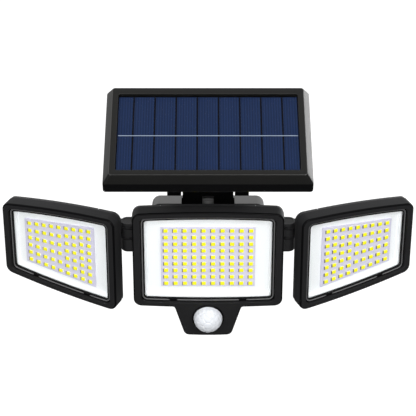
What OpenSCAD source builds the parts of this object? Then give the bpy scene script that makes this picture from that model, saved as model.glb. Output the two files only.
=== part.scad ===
// Solar wall light with three hinged flood heads and a motion sensor.
// Origin: centre of the wall base's back face. X right, Y towards the wall, Z up.

/* [Pose] */
// Tilt of the solar panel above level
panel_tilt = 34.1; // [20:0.1:48]
// Pitch of the heads below vertical
head_pitch = 20; // [2:0.5:29]
// Swing of each side head back from the centre head
side_yaw = 24.9; // [2:0.1:44]

/* [Wall base] */
// Width of the base
base_w = 82.6; // [78:0.2:90]
// Height of the base
base_h = 64; // [62:0.5:70]
// Depth of the base housing, without its back cover
base_d = 27; // [26.5:0.1:34]
// Corner radius of the base seen from the front
base_corner_r = 6; // [4:0.5:10]
// Softening of the base's front edge
base_front_soft = 2.5; // [1:0.1:3]
// Wall thickness of the base housing
base_wall = 2.6; // [2.2:0.1:3]
// Thickness of the back cover
back_cover_t = 3; // [2.4:0.1:4]
// Width of the screw tabs on the back cover
tab_w = 28; // [20:0.5:34]
// Reach of the screw tabs beyond the base
tab_reach = 14; // [12:0.5:18]
// Radius of the wall screw holes
wall_hole_r = 2.6; // [2:0.1:3.2]

/* [Panel hinge] */
// Distance of the panel pivot from the housing's back
panel_pivot_out = 12; // [11:0.1:12.5]
// Height of the panel pivot above the base's middle
panel_pivot_up = 27; // [26:0.1:28]
// Width of the base's central lug
lug_w = 8.3; // [7:0.1:9]
// Width of each bracket ear
ear_w = 14.2; // [13:0.1:15]
// Radius of the lug and the ears
ear_r = 6; // [5.6:0.1:6.4]
// Radius of both tilt bolts
pivot_bolt_r = 2.5; // [2:0.1:2.8]

/* [Solar panel] */
// Width of the panel
panel_w = 144.8; // [140:0.2:160]
// Length of the panel from front to rear
panel_l = 91.4; // [88:0.2:100]
// Height of the panel's upright edge
panel_edge_h = 7.5; // [7:0.1:9]
// Height of the bevel above the upright edge
panel_bevel_h = 7.2; // [6:0.1:8]
// Run of the bevel at the sides
panel_bevel_side = 4.4; // [4:0.1:7]
// Run of the bevel at the front and rear
panel_bevel_end = 2.6; // [2:0.1:5]
// Flat margin between the bevel and the recess at the sides
margin_side = 3.3; // [2:0.1:4]
// Flat margin between the bevel and the recess at the front
margin_end = 4.45; // [3:0.05:5]
// How much wider that margin is at the rear
margin_rear_extra = 1.6; // [0:0.1:2]
// Depth of the recess for the cells
recess_depth = 1.5; // [1:0.1:2]
// Number of whole cells
cell_count = 7; // [5:1:9]
// Gap between two cells
cell_gap = 0.8; // [0.5:0.1:1.2]
// Distance of the panel's edge plane from its pivot
panel_rise = 79; // [76:0.2:84]
// Offset of the panel's middle in front of its pivot
panel_forward = 7.5; // [4:0.1:10]
// Width of the bracket's neck
neck_w = 59.5; // [54:0.5:66]
// Thickness of the bracket's neck
neck_t = 6; // [5:0.1:7]
// Distance of the neck's lower edge from the pivot
neck_start = 14.7; // [14.4:0.1:16]

/* [Heads] */
// Width of the centre window
window_w = 90.6; // [84:0.2:100]
// Height of the centre window
window_h = 65.6; // [62:0.2:70]
// Length of a side window
side_window_w = 75.5; // [70:0.1:84]
// Height of a side window at its inner end
side_h_in = 63.7; // [60:0.1:67]
// Height of a side window at its outer end
side_h_out = 47.6; // [44:0.1:52]
// Extra height at the middle of the crowned edges
crown_rise = 1.2; // [0.4:0.1:2]
// Width of the black border round each window
border = 7; // [6.8:0.1:8]
// Corner radius of the heads
head_corner_r = 6; // [4:0.1:7]
// Corner radius of the windows
window_corner_r = 2.2; // [1:0.1:3]
// Rise of the border's face in front of the lens
face_rise = 2.5; // [2:0.1:3.5]
// Depth of the bezel behind the lens's front
bezel_depth = 7.5; // [7.4:0.1:9]
// Softening of the border's outer edge
face_soft = 1.4; // [0.8:0.1:1.8]
// Thickness of the rear housing's flange
flange_t = 2.5; // [2.2:0.1:3]
// Depth of the rear housing behind its flange
tub_depth = 7.5; // [6:0.1:8]
// Drop of the side heads' middle below the centre head's
side_drop = 5.3; // [3:0.1:7]
// Thickness of the lens
lens_t = 1.2; // [1:0.1:1.5]
// Thickness of the reflector and the circuit boards
sheet_t = 1.2; // [1:0.1:1.5]

/* [LED boards] */
// Width of the centre board
board_w = 67.4; // [65:0.1:70]
// Height of the centre board
board_h = 50.4; // [50:0.1:54]
// Length of a side board
side_board_w = 56.6; // [54:0.1:58]
// Height of a side board at its inner end
side_board_h_in = 51.2; // [48:0.1:52]
// Height of a side board at its outer end
side_board_h_out = 37.1; // [35:0.1:38]
// Columns of LEDs on the centre board
led_columns = 10; // [6:1:10]
// Rows of LEDs on the centre board
led_rows = 9; // [5:1:10]
// Length of an LED package
led_l = 3.5; // [3:0.1:3.5]
// Width of an LED package
led_w = 2.8; // [2:0.1:2.8]
// Height of an LED package
led_h = 0.7; // [0.5:0.1:0.8]

/* [Side hinges] */
// Distance of each side hinge's axis from the centre window's end
hinge_out = 12.2; // [12:0.1:14]
// Distance of each side hinge's axis behind the centre lens
hinge_y = 19; // [18.6:0.1:20]
// Distance of a side window's inner end from its hinge axis
hinge_inset = 7; // [6.6:0.1:8]
// Depth of the hinge axis behind the side lens
hinge_depth = 20.9; // [20.4:0.1:22]
// Radius of the hinge knuckles
knuckle_r = 4.9; // [4.8:0.1:5.2]
// Radius of the hinge bolts
hinge_bolt_r = 2; // [1.6:0.1:2.2]
// Height of the stack's lower end above the centre
stack_bottom = -3; // [-4:0.1:-1]
// Height of the lowest arm
arm_bottom_t = 9.9; // [9:0.1:11]
// Height of the lower link
link_low_t = 2.4; // [2.2:0.1:3]
// Height of the middle arm
arm_mid_t = 5.8; // [5:0.1:7]
// Height of the upper link
link_top_t = 2.4; // [2.2:0.1:3]
// Height of the top arm
arm_top_t = 2.3; // [2.2:0.1:3]
// Gap between two leaves of the hinge
leaf_gap = 0.2; // [0.15:0.05:0.3]

/* [Head hinge] */
// Distance of the head pivot in front of the base
head_pivot_out = 7.8; // [7.6:0.1:9]
// Height of the head pivot above the base's middle
head_pivot_up = 6; // [4:0.1:8]
// Distance of the head pivot behind the centre lens
head_pivot_back = 26; // [25.6:0.1:27]
// Drop of the head pivot below the centre of the lens
head_pivot_drop = 2.5; // [1:0.1:4]
// Width of the base's front lug
front_lug_w = 12; // [10:0.2:13]
// Width of each rear ear on the centre head
head_ear_w = 5.8; // [5:0.1:6.4]
// Radius of the front lug and the rear ears
head_ear_r = 5.6; // [5.2:0.1:5.8]

/* [Motion sensor] */
// Width of the chin where it leaves the border
chin_w_top = 48; // [46:0.2:50]
// Width of the chin near its lower end
chin_w_low = 36; // [34:0.2:38]
// Drop of the chin below the border
chin_h = 25.2; // [24.5:0.1:27]
// Radius of the chin's lower corners
chin_r = 4.5; // [3:0.1:5]
// Wall thickness of the chin
chin_wall = 2.4; // [2:0.1:2.6]
// Radius of the sensor dome
dome_r = 10.4; // [9.6:0.1:10.6]
// Drop of the dome's centre below the border
dome_drop = 9.3; // [9:0.1:10]
// Width of the ring round the dome
collar_w = 1.1; // [0.9:0.05:1.2]
// Radius of the mode button
button_r = 2.4; // [2:0.1:2.5]
// Travel of the mode button
button_travel = 1; // [0.6:0.1:1.2]

/* [Hidden] */
$fn = 64;

// Fits and small shared sizes
bore_clearance = 0.05;
fit_gap = 0.3;
overrun = 1;
skin = 0.01;
soft_fn = 32;
crown_steps = 8;

// Base
base_front_y = -(base_d + back_cover_t);
cover_front_y = -back_cover_t;
base_soft_r = base_corner_r - base_front_soft;
seal_w = 1.4;
seal_t = 1.2;
pocket_gap = 1.5;
pocket_side_gap = 0.95;
ear_out = lug_w / 2 + fit_gap / 2 + ear_w;
pocket_half = ear_out + pocket_side_gap;
pocket_floor = panel_pivot_up - ear_r - pocket_gap;
panel_axis_y = -(panel_pivot_out + back_cover_t);
pocket_back = panel_axis_y + ear_r + pocket_gap;
screw_l = 12;
head_axis_y = base_front_y - head_pivot_out;
battery_r = 9.2;
battery_y = base_front_y + base_wall + battery_r + fit_gap;
boss_r = 3;
boss_inset = 6.5;
small_screw_r = 1.2;
small_head_r = 2.2;
small_head_t = 1.4;
battery_l = 65;
battery_z = -13.4;
cradle_t = 2;
cradle_gap = 0.25;
cradle_x = 22;
terminal_r = 3.2;
terminal_h = 0.8;
control_w = 56;
control_h = 17;
control_z = 6;
chip_size = 7;
post_r = 2;
post_h = 1.4;

// Panel, measured from its pivot along and square to the panel
edge_z = panel_rise;
top_z = panel_rise + panel_bevel_h;
under_z = panel_rise - panel_edge_h;
frame_corner_r = 2;
recess_w = panel_w - 2 * (panel_bevel_side + margin_side);
recess_l = panel_l - 2 * (panel_bevel_end + margin_end) - margin_rear_extra;
recess_forward = margin_rear_extra / 2;
recess_corner_r = 1.5;
cell_margin = 2.8;
cell_margin_side = 1.6;
cell_end_share = 0.707;
cells_w = recess_w - 2 * cell_margin_side;
cell_pitch = cells_w / (cell_count + 2 * cell_end_share);
cell_end_w = cell_end_share * cell_pitch;
cells_l = recess_l - 2 * cell_margin;
film_t = 0.4;
cell_t = 0.3;
back_sheet_t = 0.8;
film_top = top_z - recess_depth;
cell_z = film_top - film_t - cell_t;
shelf_z = cell_z - back_sheet_t;
frame_wall = 2.5;
shelf_w = 3;
panel_cover_t = 2;
panel_seal_t = 1;
panel_seal_w = 1.5;
rib_t = 1.6;
foot_w = 70;
foot_l = 26;
foot_t = 3;
foot_corner_r = 4;
gusset_t = 3;
gusset_reach = 9;
gusset_x = 20;
slit_w = 1;
slit_h = 14;
pivot_head_r = 4.2;
pivot_head_t = 2.6;
washer_gap = 0.15;
bracket_screw_inset = 6;
bracket_screw_x = foot_w / 2 - bracket_screw_inset;
panel_screw_inset = 5;
screw_bite = 4;

// Heads: a pane is [length, inner height, outer height] of its window and the border's extra width
// at its two ends
centre_pane = [window_w, window_h, window_h, 1.4];
side_pane = [side_window_w, side_h_in, side_h_out, 0.8];
centre_board = [board_w, board_h, board_h];
side_board = [side_board_w, side_board_h_in, side_board_h_out];
side_board_shift = 1.9;
side_board_drop = 0.9;
centre_board_rise = -0.1;
bezel_back = bezel_depth;
flange_back = bezel_depth + flange_t;
tub_back = flange_back + tub_depth;
flange_inset = 0.4;
ledge_y = -1;
rim_open = 2.3;
rim_ledge = 1.5;
seat_margin = 2.3;
lens_margin = 2;
seal_height = 0.4;
seal_margin_in = 0.4;
reflector_y = lens_t + seal_height;
clamp_y = reflector_y + sheet_t;
board_y = clamp_y;
floor_y = board_y + sheet_t;
led_y = board_y - led_h;
clamp_out = 1.8;
tray_rim = -0.7;
tray_floor = -1.7;
tub_margin = 1;
tub_taper = 7;
tub_wall = 2;
notch_w = 6.2;
notch_share = 0.283;
head_screw_r = 1;
head_screw_head_r = 1.9;
head_screw_head_t = 1.3;
head_screw_share = 0.13;
head_screw_margin = (seat_margin + border) / 2;
rib_shares = [0.2, 0.27, 0.34, 0.66, 0.73, 0.8];
rib_h = 1;

// LED rows: pitch on the centre board, and the count in each side column from the hinge outwards
led_pitch_x = 6.74;
led_pitch_z = 5.67;
side_led_counts = [8, 8, 7, 7, 6, 6, 6, 6, 6];
side_led_edge_x = 4;
side_led_edge_z = 3.3;

// Side hinges
hinge_x = window_w / 2 + hinge_out;
stack = [arm_bottom_t, link_low_t, arm_mid_t, link_top_t, arm_top_t];
spine_gap = 1.9;
spine_depth = 10.5;
hinge_head_r = 3.6;
hinge_head_t = 1.1;
hinge_nut_t = 2.2;
hinge_pocket = 0.2;
link_inset = 1;
link_r = knuckle_r - link_inset;

// Chin and sensor
border_bottom = window_h / 2 + border + crown_rise;
chin_bottom = -(border_bottom + chin_h);
chin_root = window_h / 2 + border - overrun;
dome_z = -(border_bottom + dome_drop);
dome_t = 1;
dome_flange_r = dome_r + 0.9;
collar_out_r = dome_r + fit_gap / 2 + collar_w;
collar_rise = 0.8;
collar_seat = 1;
element_r = 4.6;
element_t = 3;
sensor_pcb_w = 20;
sensor_pcb_y = bezel_depth - sheet_t - 0.7;
sensor_pcb_rise = 6.6;
sensor_pcb_drop = 9;
sensor_pcb_top = dome_z + sensor_pcb_rise;
sensor_pcb_bottom = dome_z - sensor_pcb_drop;
switch_w = 6;
switch_h = 3.4;
switch_t = 3.4;
button_y = bezel_depth / 2;
button_proud = 1.5;
button_flange = 0.7;
button_flange_t = 0.8;
button_inner = chin_bottom + chin_wall + fit_gap;

// Half height of a pane's straight edge at distance s from its inner end
function pane_half(p, s) = (p[1] + (p[2] - p[1]) * s / p[0]) / 2;
// How much further a slanted edge lies than its square distance
function pane_stretch(p) = sqrt(1 + pow((p[1] - p[2]) / (2 * p[0]), 2));
// Rise of the crowned edge at distance s
function pane_crown(p, s, c) = c * (1 - pow(2 * s / p[0] - 1, 2));
// Height of the lower face of hinge leaf i
function leaf_z(i) = i == 0 ? stack_bottom : leaf_z(i - 1) + stack[i - 1] + leaf_gap;

// Window outline grown by m, with corner radius r and crown c, and further by ends at its two ends
module pane_2d(p, m, r, c, ends = 0) {
    core = m - r;
    reach = core + ends;
    s = [for (i = [0:crown_steps]) -reach + (p[0] + 2 * reach) * i / crown_steps];
    top = [for (x = s) [x, pane_half(p, x) + core * pane_stretch(p) + pane_crown(p, x, c)]];
    low = [for (i = [crown_steps:-1:0]) [top[i][0], -top[i][1]]];
    offset(r = r, $fn = soft_fn) polygon(concat(top, low));
}

module rounded_2d(w, h, r) {
    square([w - 2 * r, h], center = true);
    square([w, h - 2 * r], center = true);
    for (x = [-1, 1], y = [-1, 1])
        translate([x * (w / 2 - r), y * (h / 2 - r)]) circle(r);
}

// Extrudes a front view (x, z) from y0 to y1
module slab(y0, y1) {
    translate([0, y1, 0]) rotate([90, 0, 0]) linear_extrude(y1 - y0) children();
}

// Extrudes a side view (y, z) from x0 to x1
module bar(x0, x1) {
    translate([x0, 0, 0]) rotate([90, 0, 90]) linear_extrude(x1 - x0) children();
}

// Cylinder along X
module rod_x(x0, x1, r, y = 0, z = 0) {
    translate([x0, y, z]) rotate([0, 90, 0]) cylinder(h = x1 - x0, r = r);
}

// Cylinder along Y
module rod_y(y0, y1, r, x = 0, z = 0) {
    translate([x, y1, z]) rotate([90, 0, 0]) cylinder(h = y1 - y0, r = r);
}

module in_panel() {
    translate([0, panel_axis_y, panel_pivot_up]) rotate([panel_tilt, 0, 0]) children();
}

module in_head() {
    translate([0, head_axis_y, head_pivot_up]) rotate([head_pitch, 0, 0])
        translate([0, -head_pivot_back, head_pivot_drop]) children();
}

// Frame of a side head: x from the window's inner end outwards
module in_side(side) {
    in_head() mirror([side < 0 ? 1 : 0, 0, 0])
        translate([hinge_x, hinge_y, -side_drop]) rotate([0, 0, side_yaw])
            translate([hinge_inset, -hinge_depth, 0]) children();
}

module in_centre() {
    in_head() translate([-window_w / 2, 0, 0]) children();
}

// Wall base

module base_screw_places() {
    for (x = [-1, 1], z = [-1, 1])
        translate([x * (base_w / 2 - boss_inset), 0, z * (base_h / 2 - boss_inset)]) children();
}

module base_housing() {
    color("#5a5a5a")
    difference() {
        union() {
            difference() {
                union() {
                    slab(base_front_y + base_front_soft, cover_front_y)
                        rounded_2d(base_w, base_h, base_corner_r);
                    hull() {
                        slab(base_front_y + base_front_soft, base_front_y + base_front_soft + skin)
                            rounded_2d(base_w, base_h, base_corner_r, $fn = soft_fn);
                        slab(base_front_y, base_front_y + skin)
                            rounded_2d(base_w - 2 * base_front_soft, base_h - 2 * base_front_soft,
                                base_soft_r, $fn = soft_fn);
                    }
                }
                slab(base_front_y + base_wall, cover_front_y + overrun)
                    rounded_2d(base_w - 2 * base_wall, base_h - 2 * base_wall, base_corner_r - base_wall);
            }
            // pocket walls and floor
            translate([-pocket_half - base_wall, base_front_y + base_wall / 2, pocket_floor - base_wall])
                cube([2 * (pocket_half + base_wall), pocket_back - base_front_y + base_wall / 2,
                    (base_h + base_wall) / 2 - pocket_floor]);
            // front lug of the head hinge
            bar(-front_lug_w / 2, front_lug_w / 2) {
                translate([head_axis_y, head_pivot_up]) circle(head_ear_r);
                translate([head_axis_y, head_pivot_up - head_ear_r])
                    square([head_pivot_out + base_wall / 2, 2 * head_ear_r]);
            }
            base_screw_places() rod_y(base_front_y + base_wall / 2, cover_front_y, boss_r);
            // cradle ribs that carry the battery
            for (x = [-1, 1])
                translate([x * cradle_x - cradle_t / 2, base_front_y + base_wall / 2,
                    -(base_h - base_wall) / 2])
                    cube([cradle_t, base_d / 2, battery_z + battery_r / 2 + (base_h - base_wall) / 2]);
        }
        // pocket for the panel's ears
        translate([-pocket_half, base_front_y - overrun, pocket_floor])
            cube([2 * pocket_half, pocket_back - base_front_y + overrun,
                base_h / 2 + overrun - pocket_floor]);
        rod_x(-front_lug_w, front_lug_w, pivot_bolt_r + bore_clearance, head_axis_y, head_pivot_up);
        rod_x(-battery_l / 2, battery_l / 2, battery_r + cradle_gap, battery_y, battery_z);
        base_screw_places() rod_y(base_front_y + base_wall, cover_front_y + overrun,
            small_screw_r + bore_clearance);
        // groove for the seal
        slab(cover_front_y - seal_t, cover_front_y + overrun) seal_ring_2d(0);
    }
    // central lug of the panel hinge
    color("#5a5a5a") difference() {
        bar(-lug_w / 2, lug_w / 2) {
            translate([panel_axis_y, panel_pivot_up]) circle(ear_r);
            translate([base_front_y + base_front_soft, pocket_floor - base_wall / 2])
                square([-base_front_y - base_front_soft + panel_axis_y + ear_r,
                    panel_pivot_up - pocket_floor + base_wall / 2]);
            // block in front of the pivot, level with the base's top
            translate([base_front_y + base_front_soft, panel_pivot_up - ear_r])
                square([-base_front_y - base_front_soft + panel_axis_y,
                    base_h / 2 - panel_pivot_up + ear_r]);
        }
        rod_x(-lug_w, lug_w, pivot_bolt_r + bore_clearance, panel_axis_y, panel_pivot_up);
    }
}

module seal_ring_2d(clear) {
    mid = base_wall / 2;
    difference() {
        rounded_2d(base_w - 2 * mid + seal_w / 2 - 2 * clear, base_h - 2 * mid + seal_w / 2 - 2 * clear,
            base_corner_r - mid);
        rounded_2d(base_w - 2 * mid - seal_w / 2 + 2 * clear, base_h - 2 * mid - seal_w / 2 + 2 * clear,
            base_corner_r - mid - seal_w / 2);
    }
}

module base_gasket() {
    color("#202022") slab(cover_front_y - seal_t, cover_front_y) seal_ring_2d(0);
}

module base_back_cover() {
    color("#3a3a3c")
    difference() {
        union() {
            slab(cover_front_y, 0) {
                rounded_2d(base_w, base_h, base_corner_r);
                rounded_2d(tab_w, base_h + 2 * tab_reach, base_corner_r);
            }
            for (x = [-1, 1])
                rod_y(cover_front_y - post_h, cover_front_y, post_r,
                    x * (control_w / 2 - 2 * post_r), control_z);
        }
        for (z = [-1, 1])
            rod_y(cover_front_y - overrun, overrun, wall_hole_r, 0, z * (base_h + tab_reach) / 2);
        base_screw_places() {
            rod_y(cover_front_y - overrun, overrun, small_screw_r + bore_clearance);
            rod_y(-small_head_t - skin, overrun, small_head_r + bore_clearance);
        }
    }
}

module base_screws() {
    color("silver") base_screw_places() {
        rod_y(-small_head_t - screw_l, -small_head_t, small_screw_r);
        rod_y(-small_head_t, -skin, small_head_r);
    }
}

module battery() {
    color("steelblue") {
        rod_x(-battery_l / 2, battery_l / 2, battery_r, battery_y, battery_z);
        rod_x(battery_l / 2, battery_l / 2 + terminal_h, terminal_r, battery_y, battery_z);
    }
}

module control_board() {
    board_front = cover_front_y - post_h - sheet_t;
    color("darkgreen") {
        translate([-control_w / 2, board_front, control_z - control_h / 2])
            cube([control_w, sheet_t, control_h]);
        for (x = [-1, 1])
            translate([x * chip_size - chip_size / 2, board_front - sheet_t, control_z - chip_size / 2])
                cube([chip_size, sheet_t, chip_size]);
    }
}

// Bolt along X with a round head at x1 and a thread end at x0
module cross_bolt(x0, x1, r, head_r, head_t) {
    rod_x(x0, x1, r);
    rod_x(x1, x1 + head_t, head_r);
}

module cross_nut(x0, x1, r, across) {
    difference() {
        translate([x0, 0, 0]) rotate([0, 90, 0]) cylinder(h = x1 - x0, r = across, $fn = 6);
        rod_x(x0 - overrun, x1 + overrun, r + bore_clearance);
    }
}

ear_pocket = pivot_head_t + hinge_pocket;

module panel_pivot_bolt() {
    color("silver") translate([0, panel_axis_y, panel_pivot_up])
        cross_bolt(-ear_out, ear_out - ear_pocket + washer_gap, pivot_bolt_r, pivot_head_r, pivot_head_t);
}

module panel_pivot_nut() {
    color("silver") translate([0, panel_axis_y, panel_pivot_up])
        cross_nut(-ear_out, -ear_out + ear_pocket - washer_gap, pivot_bolt_r, pivot_head_r);
}

head_ear_in = front_lug_w / 2 + leaf_gap;
head_ear_out = head_ear_in + head_ear_w;

module head_pivot_bolt() {
    color("silver") translate([0, head_axis_y, head_pivot_up])
        cross_bolt(-head_ear_out - washer_gap - pivot_head_t, head_ear_out + washer_gap,
            pivot_bolt_r, pivot_head_r, pivot_head_t);
}

module head_pivot_nut() {
    color("silver") translate([0, head_axis_y, head_pivot_up])
        cross_nut(-head_ear_out - washer_gap - pivot_head_t, -head_ear_out - washer_gap,
            pivot_bolt_r, pivot_head_r);
}

// Solar panel, in the frame of its pivot

module panel_plate(w, l, r, z0, z1) {
    translate([0, -panel_forward, z0]) linear_extrude(z1 - z0) rounded_2d(w, l, r);
}

// Plate in the recess, whose middle lies in front of the panel's
module recess_plate(inset, r, z0, z1) {
    translate([0, -recess_forward, 0])
        panel_plate(recess_w - 2 * inset, recess_l - 2 * inset, r, z0, z1);
}

module panel_frame() {
    inner_w = panel_w - 2 * frame_wall;
    inner_l = panel_l - 2 * frame_wall;
    color("#2b2b2d") in_panel() difference() {
        hull() {
            panel_plate(panel_w, panel_l, frame_corner_r, under_z, edge_z, $fn = soft_fn);
            panel_plate(panel_w - 2 * panel_bevel_side, panel_l - 2 * panel_bevel_end, frame_corner_r,
                top_z - skin, top_z, $fn = soft_fn);
        }
        // recess in front of the cells, the shelf under them and the space below
        recess_plate(0, recess_corner_r, shelf_z, top_z + overrun);
        recess_plate(shelf_w, recess_corner_r, under_z, shelf_z + overrun);
        panel_plate(inner_w, inner_l, frame_corner_r, under_z - overrun, edge_z - frame_wall);
        panel_screw_places() translate([0, 0, edge_z - frame_wall - overrun])
            cylinder(h = screw_bite + overrun, r = small_screw_r + bore_clearance);
    }
}

module panel_cover_sheet() {
    color([0.8, 0.85, 0.9, 0.35]) in_panel()
        recess_plate(fit_gap / 2, recess_corner_r, film_top - film_t, film_top);
}

module solar_cells() {
    color("#22345c") in_panel()
        for (i = [0:cell_count + 1]) {
            whole = i > 0 && i <= cell_count;
            w = whole ? cell_pitch - cell_gap : cell_end_w - cell_gap / 2;
            x = whole ? (i - (cell_count + 1) / 2) * cell_pitch
                : sign(i - 1) * (cells_w / 2 - w / 2);
            translate([x, -panel_forward - recess_forward, cell_z + cell_t / 2])
                cube([w, cells_l, cell_t], center = true);
        }
}

module panel_back_sheet() {
    color("#101012") in_panel()
        recess_plate(fit_gap / 2, recess_corner_r, shelf_z, cell_z);
}

panel_seal_z = under_z + panel_cover_t;

module panel_gasket() {
    w = panel_w - 2 * frame_wall - fit_gap;
    l = panel_l - 2 * frame_wall - fit_gap;
    color("#202022") in_panel() difference() {
        panel_plate(w, l, frame_corner_r, panel_seal_z, panel_seal_z + panel_seal_t);
        panel_plate(w - 2 * panel_seal_w, l - 2 * panel_seal_w, frame_corner_r,
            panel_seal_z - overrun, panel_seal_z + panel_seal_t + overrun);
    }
}

module panel_screw_places() {
    for (x = [-1, 1], y = [-1, 1])
        translate([x * (panel_w / 2 - frame_wall - panel_screw_inset),
            -panel_forward + y * (panel_l / 2 - frame_wall - panel_screw_inset), 0]) children();
}

module bracket_screw_places() {
    for (x = [-1, 1], y = [-1, 1])
        translate([x * bracket_screw_x, y * (foot_l / 2 - 2 * small_head_r), 0]) children();
}

module panel_back_cover() {
    rib_l = recess_l - 2 * (shelf_w + fit_gap);
    w = panel_w - 2 * frame_wall - fit_gap;
    l = panel_l - 2 * frame_wall - fit_gap;
    color("#2f2f31") in_panel() difference() {
        union() {
            panel_plate(w, l, frame_corner_r, under_z, under_z + panel_cover_t);
            // stiffening ribs inside and bosses under the frame
            for (x = [-2, -1, 1, 2])
                translate([x * panel_w / 6 - rib_t / 2, -panel_forward - recess_forward - rib_l / 2,
                    under_z + panel_cover_t - skin])
                    cube([rib_t, rib_l, shelf_z - panel_seal_z - fit_gap]);
            panel_screw_places() translate([0, 0, under_z])
                cylinder(h = edge_z - frame_wall - under_z, r = boss_r);
            bracket_screw_places() translate([0, 0, under_z])
                cylinder(h = edge_z - under_z - frame_wall, r = boss_r);
        }
        panel_screw_places() {
            translate([0, 0, under_z - overrun])
                cylinder(h = panel_edge_h + 2 * overrun, r = small_screw_r + bore_clearance);
            translate([0, 0, under_z - overrun])
                cylinder(h = overrun + small_head_t + skin, r = small_head_r + bore_clearance);
        }
        bracket_screw_places() translate([0, 0, under_z - overrun])
            cylinder(h = panel_edge_h - frame_wall, r = small_screw_r + bore_clearance);
    }
}

module panel_screws() {
    color("silver") in_panel() panel_screw_places() {
        translate([0, 0, under_z + small_head_t])
            cylinder(h = edge_z - frame_wall + screw_bite - under_z - small_head_t, r = small_screw_r);
        translate([0, 0, under_z]) cylinder(h = small_head_t, r = small_head_r);
    }
}

module panel_bracket() {
    neck_top = under_z - foot_t;
    color("#1d1d1f") in_panel() difference() {
        union() {
            translate([-neck_w / 2, -neck_t / 2, neck_start])
                cube([neck_w, neck_t, neck_top - neck_start]);
            translate([0, 0, neck_top]) linear_extrude(foot_t)
                rounded_2d(foot_w, foot_l, foot_corner_r);
            for (x = [-1, 1]) {
                // ear: round end on the pivot and its arm up to the neck
                bar(x * (lug_w + fit_gap + ear_w) / 2 - ear_w / 2,
                    x * (lug_w + fit_gap + ear_w) / 2 + ear_w / 2) {
                    circle(ear_r);
                    translate([-neck_t / 2, 0]) square([neck_t, neck_start + neck_t]);
                }
                // gusset between neck and foot
                for (y = [-1, 1])
                    bar(x * gusset_x - gusset_t / 2, x * gusset_x + gusset_t / 2)
                        polygon([[0, neck_top - 2 * gusset_reach],
                            [y * (neck_t / 2), neck_top - 2 * gusset_reach],
                            [y * gusset_reach, neck_top + skin], [0, neck_top + skin]]);
            }
        }
        rod_x(-neck_w, neck_w, pivot_bolt_r + bore_clearance);
        rod_x(ear_out - ear_pocket, neck_w, pivot_head_r + bore_clearance);
        rod_x(-neck_w, -ear_out + ear_pocket, pivot_head_r + bore_clearance);
        for (x = [-1, 1])
            translate([x * (ear_out + slit_w / 2) - slit_w / 2, -neck_t, neck_start - overrun])
                cube([slit_w, 2 * neck_t, slit_h + overrun]);
        bracket_screw_places() translate([0, 0, neck_top - overrun])
            cylinder(h = foot_t + 2 * overrun, r = small_screw_r + bore_clearance);
    }
}

module bracket_screws() {
    color("silver") in_panel() bracket_screw_places() {
        translate([0, 0, under_z - foot_t]) cylinder(h = foot_t + panel_edge_h - 2 * frame_wall,
            r = small_screw_r);
        translate([0, 0, under_z - foot_t - small_head_t]) cylinder(h = small_head_t, r = small_head_r);
    }
}

// Flood heads: every module takes its pane

module head_screw_places(p) {
    for (t = [head_screw_share, 1 - head_screw_share], z = [-1, 1])
        translate([t * p[0], 0, z * (pane_half(p, t * p[0]) + head_screw_margin * pane_stretch(p)
            + pane_crown(p, t * p[0], crown_rise))]) children();
}

// Front block of a bezel: its outer edge is softened all round
module bezel_block(p) {
    hull() {
        slab(-face_rise, -face_rise + skin)
            pane_2d(p, border - face_soft, head_corner_r - face_soft, crown_rise, p[3]);
        slab(-face_rise + face_soft, bezel_back) pane_2d(p, border, head_corner_r, crown_rise, p[3]);
    }
}

// Everything cut out of a bezel: the flared rim, the ledge, the lens seat, notches and screw holes
module bezel_cuts(p) {
    rim_r = window_corner_r + rim_ledge;
    hull() {
        slab(-face_rise - overrun, -face_rise) pane_2d(p, rim_open, rim_r, crown_rise);
        slab(ledge_y - skin, ledge_y) pane_2d(p, rim_ledge, rim_r, crown_rise);
    }
    slab(ledge_y - overrun, overrun) pane_2d(p, 0, window_corner_r, crown_rise);
    slab(0, bezel_back + overrun) pane_2d(p, seat_margin, rim_r, crown_rise);
    for (t = [notch_share, 1 - notch_share])
        translate([t * p[0] - notch_w / 2, ledge_y - overrun,
            -pane_half(p, t * p[0]) - crown_rise - rim_ledge / 2])
            cube([notch_w, overrun - ledge_y, 2 * rim_ledge]);
    head_screw_places(p) rod_y(lens_t, bezel_back + overrun, head_screw_r + bore_clearance);
}

module side_bezel(side) {
    color("#242426") in_side(side) difference() {
        bezel_block(side_pane);
        bezel_cuts(side_pane);
    }
}

// Clear plate, seal ring, reflector tray
module lens(p) {
    color([0.85, 0.9, 0.95, 0.3]) slab(0, lens_t)
        pane_2d(p, lens_margin, window_corner_r + rim_ledge, crown_rise);
}

module lens_seal(p) {
    color("#303032") slab(lens_t, reflector_y) difference() {
        pane_2d(p, lens_margin, window_corner_r + rim_ledge, crown_rise);
        pane_2d(p, seal_margin_in, window_corner_r, crown_rise);
    }
}

module reflector(p) {
    color("white") difference() {
        union() {
            slab(reflector_y, clamp_y) pane_2d(p, lens_margin, window_corner_r + rim_ledge, crown_rise);
            hull() {
                slab(clamp_y - skin, clamp_y)
                    pane_2d(p, tray_rim + sheet_t / 2, window_corner_r, crown_rise);
                slab(floor_y, floor_y + sheet_t)
                    pane_2d(p, tray_floor + sheet_t / 2, window_corner_r, crown_rise);
            }
        }
        hull() {
            slab(reflector_y - overrun, reflector_y) pane_2d(p, tray_rim, window_corner_r, crown_rise);
            slab(floor_y - skin, floor_y) pane_2d(p, tray_floor, window_corner_r, crown_rise);
        }
    }
}

module led_board(b) {
    color("#d7d4e1") slab(board_y, floor_y)
        polygon([[0, -b[1] / 2], [b[0], -b[2] / 2], [b[0], b[2] / 2], [0, b[1] / 2]]);
}

module centre_led_board() {
    in_head() translate([-board_w / 2, 0, centre_board_rise]) led_board(centre_board);
}

module led() {
    translate([-led_l / 2, led_y, -led_w / 2]) cube([led_l, led_h, led_w]);
}

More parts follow.
